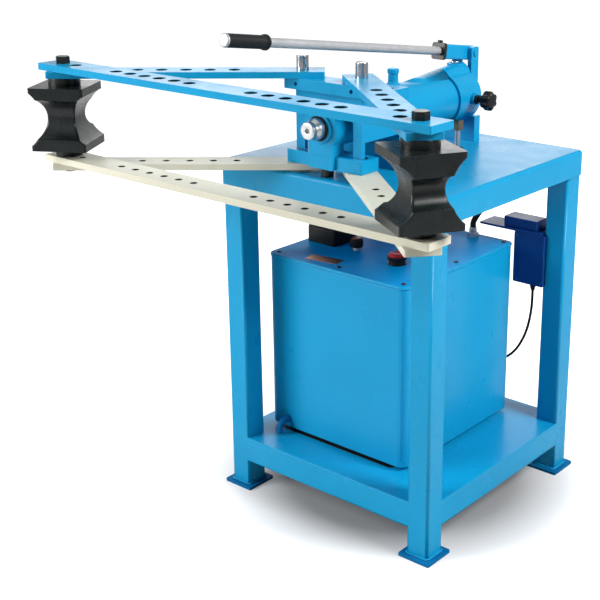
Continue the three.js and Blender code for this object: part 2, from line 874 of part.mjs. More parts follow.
function frontBarHoles() {
  const places = [];
  for (let index = 0; index < barHoleCount; index += 1) {
    places.push(barFirstHole + index * barHolePitch);
  }
  places.push(dieX - barHolePitch);
  places.push(dieX);
  return places.flatMap((place) => [-place, place]);
}

function buildWing(prefix, frontTop, frontHole, diagonalHole, pinHole, material) {
  const barShape = barOutline(-frontBarLength / 2, frontBarLength / 2);
  for (const place of frontBarHoles()) barShape.holes.push(holeOutline(place, 0, frontHole));
  const bar = upright(barShape, frontTop - barThickness, frontTop);
  addPiece(`${prefix}_front_bar`, bar.translate(0, dieY, 0), material);
  const run = Math.hypot(dieX - pinX, dieY - pinY);
  const shape = barOutline(-diagonalDieOverhang, run + diagonalHeadOverhang);
  shape.holes.push(holeOutline(0, 0, frontHole));
  shape.holes.push(holeOutline(run, 0, pinHole));
  for (let index = 0; index < diagonalHoleCount; index += 1) {
    const place = diagonalLastHole + index * diagonalHolePitch;
    shape.holes.push(holeOutline(place, 0, diagonalHole));
  }
  for (const [side, sign] of sides) {
    const bottom = frontTop - barThickness * 2;
    const plate = upright(shape, bottom, bottom + barThickness - seatGap);
    const diagonal = addPiece(`${prefix}_diagonal_${side}`, plate, material);
    diagonal.rotation.z = Math.atan2(pinY - dieY, sign * (pinX - dieX));
    diagonal.position.set(sign * dieX, dieY, 0);
  }
}

// Dies: square blocks with a pipe groove of another size along each of the four sides
function dieGeometry() {
  const body = upright(roundedOutline(dieSide, dieSide, dieRound), dieBottom, dieTop, 2);
  const upperBossTop = upperDiagonalTop - barThickness - seatGap;
  const upperBoss = rodZ(0, 0, dieUpperBossRadius, dieTop - overrun, upperBossTop);
  const lowerBoss = rodZ(0, 0, dieLowerBossRadius, lowerFrontBarTop + seatGap, dieBottom + overrun);
  const middle = (dieBottom + dieTop) / 2;
  const grooves = [
    [smallGrooveRadius, smallGrooveDepth],
    [largeGrooveRadius, largeGrooveDepth],
    [mediumGrooveRadius, mediumGrooveDepth],
    [wideGrooveRadius, wideGrooveDepth],
  ];
  const cutters = grooves.map(([radius, depth], index) => {
    const groove = new THREE.CylinderGeometry(radius, radius, dieSide * 2, roundSegments);
    groove.translate(dieSide / 2 + radius - depth, 0, middle);
    return groove.rotateZ((index * Math.PI) / 2);
  });
  const bore = holeZ(0, 0, dieBoltRadius + runningGap, lowerFrontBarTop, upperDiagonalTop, smallSegments);
  return cut(join(cut(body, ...cutters), upperBoss, lowerBoss), bore);
}

function buildDies() {
  const turns = { left: dieTurnLeft, right: dieTurnRight };
  const shape = dieGeometry();
  for (const [side, sign] of sides) {
    const die = addPiece(`die_${side}`, shape, castBlack);
    die.position.set(sign * dieX, dieY, 0);
    die.rotation.z = THREE.MathUtils.degToRad(turns[side]);
    buildDieBolt(side, sign);
  }
}

function buildDieBolt(side, sign) {
  const headBottom = upperFrontBarTop + seatGap;
  const tailTop = lowerFrontBarTop + seatGap;
  const tailBottom = lowerFrontBarTop - barThickness * 2 - dieNutHeight;
  const bolt = join(
    upright(hexagon(dieBoltHeadAcross), headBottom, headBottom + dieBoltHeadHeight),
    rodZ(0, 0, dieBoltRadius, tailTop, headBottom + overrun, smallSegments),
    rodZ(0, 0, dieBoltTailRadius, tailBottom, tailTop + overrun, smallSegments),
    upright(hexagon(dieNutAcross), tailBottom, tailBottom + dieNutHeight - seatGap),
  );
  const piece = addPiece(`die_bolt_${side}`, bolt, castBlack);
  piece.position.set(sign * dieX, dieY, 0);
}

// Smooth upper pins lift out; the lower pins hold the lower frame to the base plate
function buildWingPins() {
  const wingPinTop = upperDiagonalTop + wingPinStand;
  for (const [side, sign] of sides) {
    const upperBottom = topPlateBottom + seatGap;
    const pin = turned([
      [0, upperBottom],
      [pinRadius - wingPinChamfer, upperBottom],
      [pinRadius, upperBottom + wingPinChamfer],
      [pinRadius, wingPinTop - wingPinChamfer],
      [pinRadius - wingPinChamfer, wingPinTop],
      [0, wingPinTop],
    ]);
    const upper = addPiece(`wing_pin_${side}`, pin, polishedSteel);
    upper.position.set(sign * pinX, pinY, 0);
    const lowerTop = basePlateTop - seatGap;
    const lowerBottom = lowerDiagonalTop - barThickness - lowerPinTail;
    const lower = addPiece(`lower_pin_${side}`, rodZ(0, 0, pinRadius, lowerBottom, lowerTop), polishedSteel);
    lower.position.copy(upper.position);
  }
}

// The rib on top of the cylinder rises to the plunger's boss; each body has its own stretch of it
function topRib(front, rear) {
  const frontTop = axisHeight + ribFrontRise;
  const ribFront = barrelFront + ribFrontInset;
  const slope = Math.atan2(pumpBossTop - frontTop, plungerY + plungerHeadRadius - ribFront);
  const reach = rearEnd - barrelFront;
  const rod = rodY(0, -ribRadius, ribRadius, -reach, reach).rotateX(slope).translate(0, ribFront, frontTop);
  const side = ribRadius + overrun;
  const low = axisHeight - reach;
  const high = axisHeight + reach;
  return cut(
    rod,
    block(-side, side, ribFront - reach * 2, front, low, high),
    block(-side, side, rear, rear + reach * 2, low, high),
  );
}

// Cylinder barrel with its front neck, bore, rib and oil port
function buildBarrel() {
  const outer = turnedAlongY([
    [0, neckFront + seatGap],
    [neckRadius, neckFront + seatGap],
    [neckRadius, barrelFront],
    [barrelRadius, barrelFront],
    [barrelRadius, barrelRear - seamWidth],
    [barrelRadius - seamGroove, barrelRear - seamWidth],
    [barrelRadius - seamGroove, barrelRear],
    [0, barrelRear],
  ]).translate(0, 0, axisHeight);
  const portY = barrelFront + portInset;
  const portTop = axisHeight + portRise;
  const baseTop = axisHeight + barrelRadius + portBaseHeight;
  const port = turned([
    [0, axisHeight],
    [portBaseRadius, axisHeight],
    [portBaseRadius, baseTop],
    [portRadius, baseTop + portBaseHeight],
    [portRadius, portTop],
    [0, portTop],
  ], knobSegments).translate(0, portY, 0);
  const rib = topRib(barrelFront + ribFrontInset, barrelRear - seamWidth);
  const boreFront = barrelFront - boreLead;
  const bore = holeY(0, axisHeight, boreRadius, boreFront, barrelRear + overrun);
  const guide = holeY(0, axisHeight, ramRadius + runningGap, neckFront - overrun, boreFront + overrun);
  const spigot = holeX(linePortY, elbowZ + elbowHeight / 4, elbowSpigotRadius + seatGap, barrelRadius / 2,
    linePortX, smallSegments);
  addPiece("cylinder_barrel", cut(join(outer, port, rib), bore, guide, spigot), bluePaint);
  const plugTop = portTop + seatGap + plugHeight;
  const plug = turned([
    [0, portTop + seatGap],
    [plugRadius, portTop + seatGap],
    [plugRadius, plugTop - plugEdge],
    [plugRadius - plugEdge, plugTop],
    [0, plugTop],
  ], knobSegments);
  addPiece("port_plug", plug.translate(0, portY, 0), bluePaint);
}

function buildRam() {
  const shoulder = ramFront;
  const pistonRear = barrelRear - pistonRoom;
  const profile = [
    [0, shoulder - noseLength],
    [noseRadius - noseChamfer, shoulder - noseLength],
    [noseRadius, shoulder - noseLength + noseChamfer],
    [noseRadius, shoulder - shoulderRound / 2],
    [ramRadius - shoulderRound / 2, shoulder],
    [ramRadius, shoulder + shoulderRound],
    [ramRadius, pistonRear - pistonLength],
    [boreRadius - seatGap, pistonRear - pistonLength],
    [boreRadius - seatGap, pistonRear],
    [0, pistonRear],
  ];
  const rod = turnedAlongY(profile).translate(0, 0, axisHeight);
  const front = shoulder - noseLength;
  const hole = rodY(0, axisHeight, noseHoleRadius, front - overrun, front + noseHoleDepth, smallSegments);
  addPiece("ram", cut(rod, hole), polishedSteel);
  const ringFront = bossFront - glandThickness;
  const wiperFront = ringFront - wiperLength;
  const ring = turnedAlongY([
    [0, wiperFront],
    [wiperRadius - glandChamfer, wiperFront],
    [wiperRadius, wiperFront + glandChamfer],
    [wiperRadius, ringFront],
    [glandRadius - glandChamfer, ringFront],
    [glandRadius, ringFront + glandChamfer],
    [glandRadius, bossFront - seatGap],
    [0, bossFront - seatGap],
  ]).translate(0, 0, axisHeight);
  const through = holeY(0, axisHeight, ramRadius + runningGap, wiperFront - overrun, bossFront + overrun);
  addPiece("gland_ring", cut(ring, through), bluePaint);
}

// Rear pump body: turned end, foot, plunger boss, hinge ears and the release valve's boss
function buildPumpBody() {
  const front = barrelRear + seatGap;
  const end = turnedAlongY([
    [0, front],
    [rearRadius, front],
    [rearRadius, rearEnd - rearRound],
    [rearRadius - rearRound / 3, rearEnd - rearRound / 3],
    [rearRadius - rearRound, rearEnd],
    [0, rearEnd],
  ]).translate(0, 0, axisHeight);
  const footHalf = rearFootWidth / 2;
  const footTop = tableHeight + rearFootRise;
  const foot = block(-footHalf, footHalf, rearEnd - rearFootDepth, rearEnd, tableHeight, footTop);
  const boss = rodZ(0, plungerY, pumpBossRadius, axisHeight, pumpBossTop);
  const boreBottom = axisHeight - plungerBoreDrop;
  const boreTop = pumpBossTop + overrun;
  const bore = holeZ(0, plungerY, plungerRadius + runningGap, boreBottom, boreTop, smallSegments);
  const earFront = rearEnd - earLap;
  const earRear = rearEnd + earReach;
  const earShape = roundedOutline(earTop - earBottom, earRear - earFront, earRound);
  const ears = [-1, 1].map((sign) => {
    const middle = sign * (earHalfGap + earThickness / 2);
    const ear = upright(earShape, middle - earThickness / 2, middle + earThickness / 2).rotateY(Math.PI / 2);
    return ear.translate(0, (earFront + earRear) / 2, (earBottom + earTop) / 2);
  });
  const holeEnd = earHalfGap * 2;
  const pinHole = holeX(hingeY, hingeZ, hingePinRadius + seatGap, -holeEnd, holeEnd, smallSegments);
  const earSpan = earHalfGap + earThickness;
  const web = block(-earSpan, earSpan, rearEnd - rearRound, earRear, earBottom, earBottom + rearRound);
  const rib = topRib(front, rearEnd - rearRound);
  const valve = rodX(valveY, axisHeight, valveBossRadius, 0, valveBossReach, smallSegments);
  const valveBore = holeX(valveY, axisHeight, valveStemRadius + runningGap, valveStemStart - overrun,
    valveBossReach + overrun, smallSegments);
  const body = join(end, foot, boss, ...ears, web, rib, valve);
  addPiece("pump_body", cut(body, bore, pinHole, valveBore), bluePaint);
  const pinEnd = earHalfGap + earThickness + hingePinHead;
  const pin = join(
    rodX(hingeY, hingeZ, hingePinRadius, -pinEnd, pinEnd, smallSegments),
    rodX(hingeY, hingeZ, hingePinHeadRadius, pinEnd - hingePinHead + seatGap, pinEnd, smallSegments),
  );
  addPiece("lever_pin", pin, bluePaint);
}

function buildReleaseValve() {
  const stemEnd = valveKnobStart - seatGap;
  const stem = rodX(valveY, axisHeight, valveStemRadius, valveStemStart, stemEnd, smallSegments);
  addPiece("release_stem", stem, castBlack);
  const lobed = [];
  const count = valveKnobLobes * valveLobePoints;
  for (let index = 0; index < count; index += 1) {
    const angle = (index * Math.PI * 2) / count;
    const radius = valveKnobRadius - valveKnobLobeDepth * (1 - Math.cos(angle * valveKnobLobes)) / 2;
    lobed.push(new THREE.Vector2(radius * Math.cos(angle), radius * Math.sin(angle)));
  }
  const knobEnd = valveKnobStart + valveKnobLength;
  const knob = softSlab(new THREE.Shape(lobed), valveKnobStart, knobEnd, valveKnobEdge);
  knob.rotateY(Math.PI / 2).translate(0, valveY, axisHeight);
  addPiece("release_knob", knob, blackPlastic);
}

function buildPlunger() {
  const plunger = turned([
    [0, plungerTop - plungerLength],
    [plungerRadius, plungerTop - plungerLength],
    [plungerRadius, plungerTop - plungerHeadHeight],
    [plungerHeadRadius, plungerTop - plungerHeadHeight],
    [plungerHeadRadius, plungerTop - plungerHeadHeight / 3],
    [plungerHeadRadius * 2 / 3, plungerTop],
    [0, plungerTop],
  ], knobSegments);
  const piece = addPiece("pump_plunger", plunger, polishedSteel);
  piece.position.set(0, plungerY, 0);
}

// Lever: socket, tube, grip, end cap and set screw share one tilted group at the hinge
function buildLever() {
  const lever = new THREE.Group();
  lever.position.set(0, hingeY, hingeZ);
  lever.rotation.x = -tilt;
  pipeBender.add(lever);

  const section = roundedOutline(socketWidth, socketHeight, socketRound);
  const bar = upright(section, -socketRear, -socketFront).rotateX(Math.PI / 2);
  const bore = holeY(0, 0, leverTubeRadius + runningGap, socketFront - overrun, leverTubeRear + overrun);
  const hinge = holeX(0, 0, hingePinRadius + runningGap, -socketWidth, socketWidth, smallSegments);
  const setScrewY = socketFront + setScrewInset;
  const screwHole = holeZ(0, setScrewY, setScrewRadius + seatGap, 0, socketHeight, smallSegments);
  addPiece("lever_socket", cut(bar, bore, hinge, screwHole), bluePaint, lever);

  const tubeBore = leverTubeRadius - leverTubeWall;
  const tube = cut(
    rodY(0, 0, leverTubeRadius, leverTubeFront, leverTubeRear, knobSegments),
    rodY(0, 0, tubeBore, leverTubeFront - overrun, leverTubeRear + overrun, knobSegments),
  );
  addPiece("lever_tube", tube, satinSteel, lever);

  const grip = cut(
    turnedAlongY([
      [0, gripFront],
      [gripRadius, gripFront],
      [gripRadius, gripRear - gripFlangeLength],
      [gripFlangeRadius, gripRear - gripFlangeLength * 2 / 3],
      [gripFlangeRadius, gripRear - gripFlangeLength / 3],
      [gripRadius, gripRear],
      [0, gripRear],
    ], knobSegments),
    holeY(0, 0, leverTubeRadius + seatGap, gripFront - overrun, gripRear + overrun, knobSegments),
  );
  addPiece("lever_grip", grip, blackRubber, lever);

  const cap = turnedAlongY([
    [0, capFront],
    [capRadius - capRound, capFront],
    [capRadius - capRound / 3, capFront + capRound / 3],
    [capRadius, capFront + capRound],
    [capRadius, gripFront - seatGap],
    [capStemRadius, gripFront - seatGap],
    [capStemRadius, leverTubeFront + capRadius],
    [0, leverTubeFront + capRadius],
  ], knobSegments);
  addPiece("lever_end_cap", cap, polishedSteel, lever);

  const grow = (seatGap + collarWall) * 2;
  const collarRound = socketRound + seatGap + collarWall;
  const collarShape = roundedOutline(socketWidth + grow, socketHeight + grow, collarRound);
  const inner = [socketWidth + seatGap * 2, socketHeight + seatGap * 2, socketRound + seatGap];
  collarShape.holes.push(roundedOutline(...inner, new THREE.Path()));
  const collar = upright(collarShape, -socketFront - collarLength, -socketFront).rotateX(Math.PI / 2);
  const headBottom = socketHeight / 2 + seatGap + collarWall / 2;
  const headTop = socketHeight / 2 + seatGap + collarWall + setScrewHeadHeight;
  const screw = join(
    collar,
    rodZ(0, setScrewY, setScrewHeadRadius, headBottom, headTop, smallSegments),
    rodZ(0, setScrewY, setScrewRadius, leverTubeRadius + seatGap, headBottom + collarWall / 4, smallSegments),
  );
  addPiece("lever_set_screw", screw, castBlack, lever);
}

// Oil line: brass elbow at the barrel, riser through the table, hose down to the tank's lid
function buildOilLine() {
  const half = elbowSide / 2;
  const elbowBottom = elbowZ - elbowHeight / 2;
  const elbowTop = elbowZ + elbowHeight / 2;
  const elbow = join(
    block(linePortX - half, linePortX + half, linePortY - half, linePortY + half, elbowBottom, elbowTop),
    rodX(linePortY, elbowZ + elbowHeight / 4, elbowSpigotRadius, barrelRadius * elbowSpigotShare,
      linePortX, smallSegments),
  );
  addPiece("barrel_elbow", elbow, brassMetal);
  const hoseElbowTop = tableUnder - bulkheadHeight;
  const hoseElbowZ = hoseElbowTop - hoseElbowSide / 2;
  const reach = hoseElbowSide / 2;
  const riser = join(
    rodZ(0, 0, riserRadius, hoseElbowZ, elbowBottom - seatGap, smallSegments),
    upright(hexagon(bulkheadAcross), hoseElbowTop - seatGap, tableUnder - seatGap),
    block(-reach, reach, -reach, reach, hoseElbowTop - hoseElbowSide, hoseElbowTop),
    rodX(0, hoseElbowZ, hoseRadius, 0, hoseElbowReach, smallSegments),
  );
  const riserPiece = addPiece("riser_pipe", riser, satinSteel);
  riserPiece.position.set(linePortX, linePortY, 0);
  const seat = lidTop + seatGap;
  const fitting = join(
    upright(hexagon(lidFittingAcross), seat, seat + lidFittingHeight / 2),
    rodZ(0, 0, lidFittingRound, seat, seat + lidFittingHeight, smallSegments),
  );
  const fittingPiece = addPiece("lid_fitting", fitting, satinSteel);
  const [lidFittingX, lidFittingY] = [tankRight - lidFittingInsetX, tankRear - lidFittingInsetY];
  fittingPiece.position.set(lidFittingX, lidFittingY, 0);
  buildHose(
    new THREE.Vector3(lidFittingX, lidFittingY, seat + lidFittingHeight + seatGap),
    new THREE.Vector3(linePortX + hoseElbowReach + seatGap, linePortY, hoseElbowZ),
  );
}

// The hose bulges out past its upper end, by these shares of its reach, run and rise
function buildHose(start, end) {
  const routeShares = [
    [0, 0, 0.05], [0.06, 0, 0.12], [0.33, 0.02, 0.31], [0.72, 0.13, 0.55],
    [1, 0.34, 0.75], [0.96, 0.66, 0.92], [0.66, 0.93, 0.99],
  ];
  const between = routeShares.map(([out, run, rise]) => new THREE.Vector3(
    THREE.MathUtils.lerp(start.x, end.x + hoseBulge, out),
    THREE.MathUtils.lerp(start.y, end.y, run),
    THREE.MathUtils.lerp(start.z, end.z, rise),
  ));
  const mouth = new THREE.Vector3(end.x + hoseRadius, end.y, end.z);
  const curve = new THREE.CatmullRomCurve3([start, ...between, mouth, end]);
  addPiece("oil_hose", sweep(curve, hoseRadius, hoseSides, hoseSteps), blackRubber);
}

// Electric box: a shelf plate from the rear right leg, the contactor on it, the box below it
function buildElectricBox() {
  const plateBottom = shelfPlateTop - shelfPlateThickness;
  const plateRear = halfDepth - shelfPlateRearInset;
  const plateLeft = legFace - shelfPlateWidth;
  const plate = block(plateLeft, legFace, shelfPlateFront, plateRear, plateBottom, shelfPlateTop);
  addPiece("switch_shelf", plate, darkBluePaint);
  const contactor = softSlab(
    roundedOutline(contactorWidth, contactorDepth, contactorRound),
    shelfPlateTop + seatGap,
    shelfPlateTop + seatGap + contactorHeight,
    contactorRound / 2,
  );
  const contactorPiece = addPiece("contactor_box", contactor, darkBluePaint);
  const contactorX = legFace - contactorInset - contactorWidth / 2;
  contactorPiece.position.set(contactorX, shelfPlateFront + contactorSetback + contactorDepth / 2, 0);

  const boxTop = plateBottom - seatGap;
  const bodyShape = roundedOutline(switchBoxWidth, switchBoxDepth, switchBoxRound);
  const body = upright(bodyShape, switchBoxBottom, boxTop, 2);
  const bodyPiece = addPiece("switch_box", body, darkBluePaint);
  bodyPiece.position.set(switchBoxLeft + switchBoxWidth / 2, legFront + seatGap + switchBoxDepth / 2, 0);

  const coverWidth = switchBoxWidth + coverLap;
  const coverHeight = boxTop - switchBoxBottom;
  const coverShape = roundedOutline(coverWidth, coverHeight, coverRound);
  const cover = softSlab(coverShape, 0, coverThickness, coverRound / 2);
  cover.rotateX(Math.PI / 2);
  const coverPiece = addPiece("switch_box_cover", cover, darkBluePaint);
  coverPiece.position.set(switchBoxLeft + coverWidth / 2, legFront, switchBoxBottom + coverHeight / 2);
}

// A hexagonal gland with a tapered strain relief, pointing down from the given seat
function glandGeometry(seat) {
  const nutLength = glandBodyLength / 2;
  return join(
    upright(hexagon(glandNutAcross), seat - nutLength, seat),
    turned([
      [0, seat - glandBodyLength],
      [glandNutAcross * glandTaperShare / 2, seat - glandBodyLength],
      [glandNutAcross / 2, seat - nutLength],
      [glandNutAcross / 2, seat - nutLength + overrun],
      [0, seat - nutLength + overrun],
    ], smallSegments),
  );
}

function buildMotorLead() {
  const wall = tankRear + seatGap;
  const leadGlandX = switchBoxLeft + leadGlandInset;
  const leadGlandY = shelfPlateFront + leadGlandSetback;
  const entryHousingX = tankCentreX + entryHousingOff;
  const entryHousingBottom = tankTop - entryHousingDrop;
  const housingShape = roundedOutline(entryHousingWidth, entryHousingDepth, entryHousingRound);
  const housing = upright(housingShape, entryHousingBottom, entryHousingBottom + entryHousingHeight, 2);
  const housingPiece = addPiece("cable_entry_housing", housing, bluePaint);
  const housingY = wall + entryHousingDepth / 2;
  housingPiece.position.set(entryHousingX, housingY, 0);

  const boxSeat = switchBoxBottom - seatGap;
  const boxGland = addPiece("switch_box_gland", glandGeometry(boxSeat), blackPlastic);
  boxGland.position.set(leadGlandX, leadGlandY, 0);
  const tankSeat = entryHousingBottom - seatGap;
  const tankGland = addPiece("tank_gland", glandGeometry(tankSeat), blackPlastic);
  tankGland.position.set(entryHousingX, housingY, 0);

  const start = boxSeat - glandBodyLength - seatGap;
  const end = tankSeat - glandBodyLength - seatGap;
  const route = [
    [leadGlandX, leadGlandY, start],
    [212, 277, 462],
    [211, 277, 436],
    [207, 277, 404],
    [199, 277.5, 370],
    [186, 278, 337],
    [168, 278.5, 306],
    [145, 279, 281],
    [118, 279, 264],
    [90, 279, 259],
    [63, 278.5, 266],
    [40, 278, 284],
    [23, 277, 311],
    [13, 276, 343],
    [9, 275, 372],
    [entryHousingX, housingY, end - leadDiameter],
    [entryHousingX, housingY, end],
  ].map((point) => new THREE.Vector3(...point));
  const curve = new THREE.CatmullRomCurve3(route, false, "centripetal");
  addPiece("motor_lead", sweep(curve, leadDiameter / 2, leadSides, leadSteps), blackRubber);
}

buildLegs();
buildShelf();
buildTableTop();
buildTank();
buildLid();
buildInnerPump();
buildLidFittings();
buildDrain();
buildHeadPlates();
buildHeadCasting();
buildWing("upper", upperFrontBarTop, wingHoleRadius, wingHoleRadius, pinRadius + runningGap, bluePaint);
buildWing("lower", lowerFrontBarTop, lowerHoleRadius, lowerHoleRadius, pinRadius + runningGap, creamPaint);
buildDies();
buildWingPins();
buildBarrel();
buildRam();
buildPumpBody();
buildReleaseValve();
buildPlunger();
buildLever();
buildOilLine();
buildElectricBox();
buildMotorLead();

// The origin is the middle of the footprint, on the floor
pipeBender.updateMatrixWorld(true);
const extent = new THREE.Box3().setFromObject(pipeBender);
const centre = extent.getCenter(new THREE.Vector3());
pipeBender.position.set(-centre.x, -centre.y, -extent.min.z);
pipeBender.updateMatrixWorld(true);

export default pipeBender;
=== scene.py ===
# Bench pipe bender: finishes, fine surfaces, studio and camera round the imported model. Metres, +Z up.
import math

import bmesh
import bpy
from mathutils import Matrix, Vector


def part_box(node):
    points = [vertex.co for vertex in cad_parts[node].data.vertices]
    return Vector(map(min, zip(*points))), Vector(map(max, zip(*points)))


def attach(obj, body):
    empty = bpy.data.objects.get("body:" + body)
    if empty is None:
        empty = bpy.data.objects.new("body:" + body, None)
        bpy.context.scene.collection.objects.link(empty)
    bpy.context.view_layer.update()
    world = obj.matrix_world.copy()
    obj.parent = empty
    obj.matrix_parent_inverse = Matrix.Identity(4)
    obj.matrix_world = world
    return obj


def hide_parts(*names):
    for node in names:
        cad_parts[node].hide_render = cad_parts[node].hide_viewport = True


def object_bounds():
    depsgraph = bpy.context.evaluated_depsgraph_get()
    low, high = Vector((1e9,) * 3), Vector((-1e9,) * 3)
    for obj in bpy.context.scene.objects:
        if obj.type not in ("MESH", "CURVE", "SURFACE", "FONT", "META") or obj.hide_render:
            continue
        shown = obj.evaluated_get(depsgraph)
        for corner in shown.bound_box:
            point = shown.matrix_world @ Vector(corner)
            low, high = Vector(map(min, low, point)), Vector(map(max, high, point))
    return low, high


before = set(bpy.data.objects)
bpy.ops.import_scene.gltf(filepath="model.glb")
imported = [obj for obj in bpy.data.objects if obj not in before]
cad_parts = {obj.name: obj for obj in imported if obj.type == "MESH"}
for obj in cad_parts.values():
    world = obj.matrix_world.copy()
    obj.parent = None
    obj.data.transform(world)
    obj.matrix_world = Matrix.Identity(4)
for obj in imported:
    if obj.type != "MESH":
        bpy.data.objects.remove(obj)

CAD_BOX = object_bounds()

# Camera that matches the photograph
CAMERA_PLACE = (1.7220, -2.0933, 1.5344)
CAMERA_TILT = math.radians(72.698)
CAMERA_TURN = math.radians(39.23)
CAMERA_LENS = 71.95
CAMERA_SENSOR = 36
CAMERA_SHIFT = (-0.1, -0.1)

# Paint and metal colours, linear
BLUE = (0.004, 0.285, 0.535)
DARK_BLUE = (0.002, 0.040, 0.190)
CREAM = (0.60, 0.585, 0.47)
# Darker blue: painted shade on the drain; the foot plates take it too, darker than the legs
DIRT_AND_SHADE_BLUE = (0.005, 0.135, 0.330)
# Lid top's blue: painted light, a lit copy of the blue paint for how light falls on the lid under the table
LID_TOP_LIGHT_BLUE = (0.001, 0.280, 0.600)
CHARCOAL = (0.006, 0.009, 0.009)
STEEL = (0.66, 0.67, 0.69)
GREY_STEEL = (0.50, 0.505, 0.515)
DULL_STEEL = (0.40, 0.405, 0.415)
PIN_STEEL = (0.50, 0.51, 0.53)
RUBBER = (0.008, 0.009, 0.010)
PLASTIC = (0.004, 0.0045, 0.005)
RED = (0.42, 0.012, 0.018)
DARK_RED = (0.09, 0.006, 0.008)
BRASS = (0.24, 0.205, 0.14)
BRONZE = (0.24, 0.105, 0.07)

# Motor lead: the same route as in the part, from the switch box to the tank's rear wall
LEAD_DIAMETER = 0.007
LEAD_ROUTE = [
    (0.212, 0.465568, 0.4834), (0.212, 0.465568, 0.462), (0.211, 0.465568, 0.436),
    (0.207, 0.465568, 0.404), (0.199, 0.466068, 0.370), (0.186, 0.466568, 0.337),
    (0.168, 0.467068, 0.306), (0.145, 0.467568, 0.281), (0.118, 0.467568, 0.264),
    (0.090, 0.467568, 0.259), (0.063, 0.467068, 0.266), (0.040, 0.466568, 0.284),
    (0.023, 0.465568, 0.311), (0.013, 0.464568, 0.343), (0.009, 0.463568, 0.372),
    (0.008, 0.462868, 0.3984), (0.008, 0.462868, 0.4054),
]
ROUTE_STEPS = 10


# Node helpers: every texture reads object coordinates, so it stays on its piece
def noise(tree, scale, detail=3, stretch=(1, 1, 1)):
    nodes, links = tree.nodes, tree.links
    place = nodes.new("ShaderNodeTexCoord")
    mapping = nodes.new("ShaderNodeMapping")
    mapping.inputs["Scale"].default_value = stretch
    texture = nodes.new("ShaderNodeTexNoise")
    texture.inputs["Scale"].default_value = scale
    texture.inputs["Detail"].default_value = detail
    links.new(place.outputs["Object"], mapping.inputs["Vector"])
    links.new(mapping.outputs["Vector"], texture.inputs["Vector"])
    return texture.outputs["Fac"]


def spread(tree, source, low, high, start=0.3, end=0.7):
    node = tree.nodes.new("ShaderNodeMapRange")
    node.inputs["From Min"].default_value = start
    node.inputs["From Max"].default_value = end
    node.inputs["To Min"].default_value = low
    node.inputs["To Max"].default_value = high
    tree.links.new(source, node.inputs["Value"])
    return node.outputs["Result"]


def blend_colours(tree, source, first, second):
    node = tree.nodes.new("ShaderNodeValToRGB")
    for stop, position, colour in zip(node.color_ramp.elements, (0.3, 0.7), (first, second)):
        stop.position = position
        stop.color = (*colour, 1)
    tree.links.new(source, node.inputs["Fac"])
    return node.outputs["Color"]


def bump(tree, source, distance, strength, below=None):
    node = tree.nodes.new("ShaderNodeBump")
    node.inputs["Distance"].default_value = distance
    node.inputs["Strength"].default_value = strength
    tree.links.new(source, node.inputs["Height"])
    if below is not None:
        tree.links.new(below, node.inputs["Normal"])
    return node.outputs["Normal"]


def combine(tree, operation, first, second):
    node = tree.nodes.new("ShaderNodeMath")
    node.operation = operation
    tree.links.new(first, node.inputs[0])
    tree.links.new(second, node.inputs[1])
    return node.outputs[0]


def shaded(colour, share):
    return tuple(min(1, channel * share) for channel in colour)


def new_material(name):
    material = bpy.data.materials.new(name)
    material.use_nodes = True
    return material, material.node_tree, material.node_tree.nodes["Principled BSDF"]


def wire(tree, shader, **inputs):
    names = {"colour": "Base Color", "roughness": "Roughness", "normal": "Normal"}
    for key, output in inputs.items():
        tree.links.new(output, shader.inputs[names[key]])


# Gloss paint: slight orange peel, patches of thicker and thinner coat, uneven gloss
def paint(name, colour, roughness=0.30, coat=0.06, gloss_level=0.13):
    material, tree, shader = new_material(name)
    broad = noise(tree, 4, 2)
    tint = blend_colours(tree, broad, shaded(colour, 0.95), shaded(colour, 1.05))
    gloss = spread(tree, noise(tree, 14, 2), roughness - 0.04, roughness + 0.06)
    peel = bump(tree, noise(tree, 48, 1), 0.00008, 0.30)
    wire(tree, shader, colour=tint, roughness=gloss, normal=peel)
    shader.inputs["Specular IOR Level"].default_value = gloss_level
    shader.inputs["Coat Weight"].default_value = coat
    shader.inputs["Coat Roughness"].default_value = 0.10
    return material


# Turned or drawn steel: fine lines across the stretch, with soft smudges
def steel(name, colour, roughness, stretch=(1, 1, 1), metal=1):
    material, tree, shader = new_material(name)
    smudge = noise(tree, 24, 4)
    tint = blend_colours(tree, smudge, shaded(colour, 0.90), shaded(colour, 1.05))
    lines = noise(tree, 90, 3, stretch)
    gloss = spread(tree, smudge, roughness - 0.04, roughness + 0.10)
    wire(tree, shader, colour=tint, roughness=gloss, normal=bump(tree, lines, 0.00003, 0.14))
    shader.inputs["Metallic"].default_value = metal
    return material


# Blackened casting: grainy skin under a thin semi-gloss finish
def casting(name, colour):
    material, tree, shader = new_material(name)
    tint = blend_colours(tree, noise(tree, 24, 3), shaded(colour, 0.8), shaded(colour, 1.3))
    gloss = spread(tree, noise(tree, 40, 3), 0.24, 0.34)
    coarse = bump(tree, noise(tree, 26, 2), 0.0004, 0.10)
    grain = bump(tree, noise(tree, 160, 1), 0.00004, 0.08, coarse)
    wire(tree, shader, colour=tint, roughness=gloss, normal=grain)
    shader.inputs["Specular IOR Level"].default_value = 0.28
    return material


# Rubber and moulded plastic: fine moulded grain and handling marks
def moulded(name, colour, roughness, grain=900, depth=0.00008):
    material, tree, shader = new_material(name)
    marks = noise(tree, 30, 5)
    tint = blend_colours(tree, marks, shaded(colour, 0.8), shaded(colour, 1.35))
    gloss = spread(tree, marks, roughness - 0.06, roughness + 0.10)
    wire(tree, shader, colour=tint, roughness=gloss, normal=bump(tree, noise(tree, grain, 2), depth, 0.4))
    shader.inputs["Specular IOR Level"].default_value = 0.20
    return material


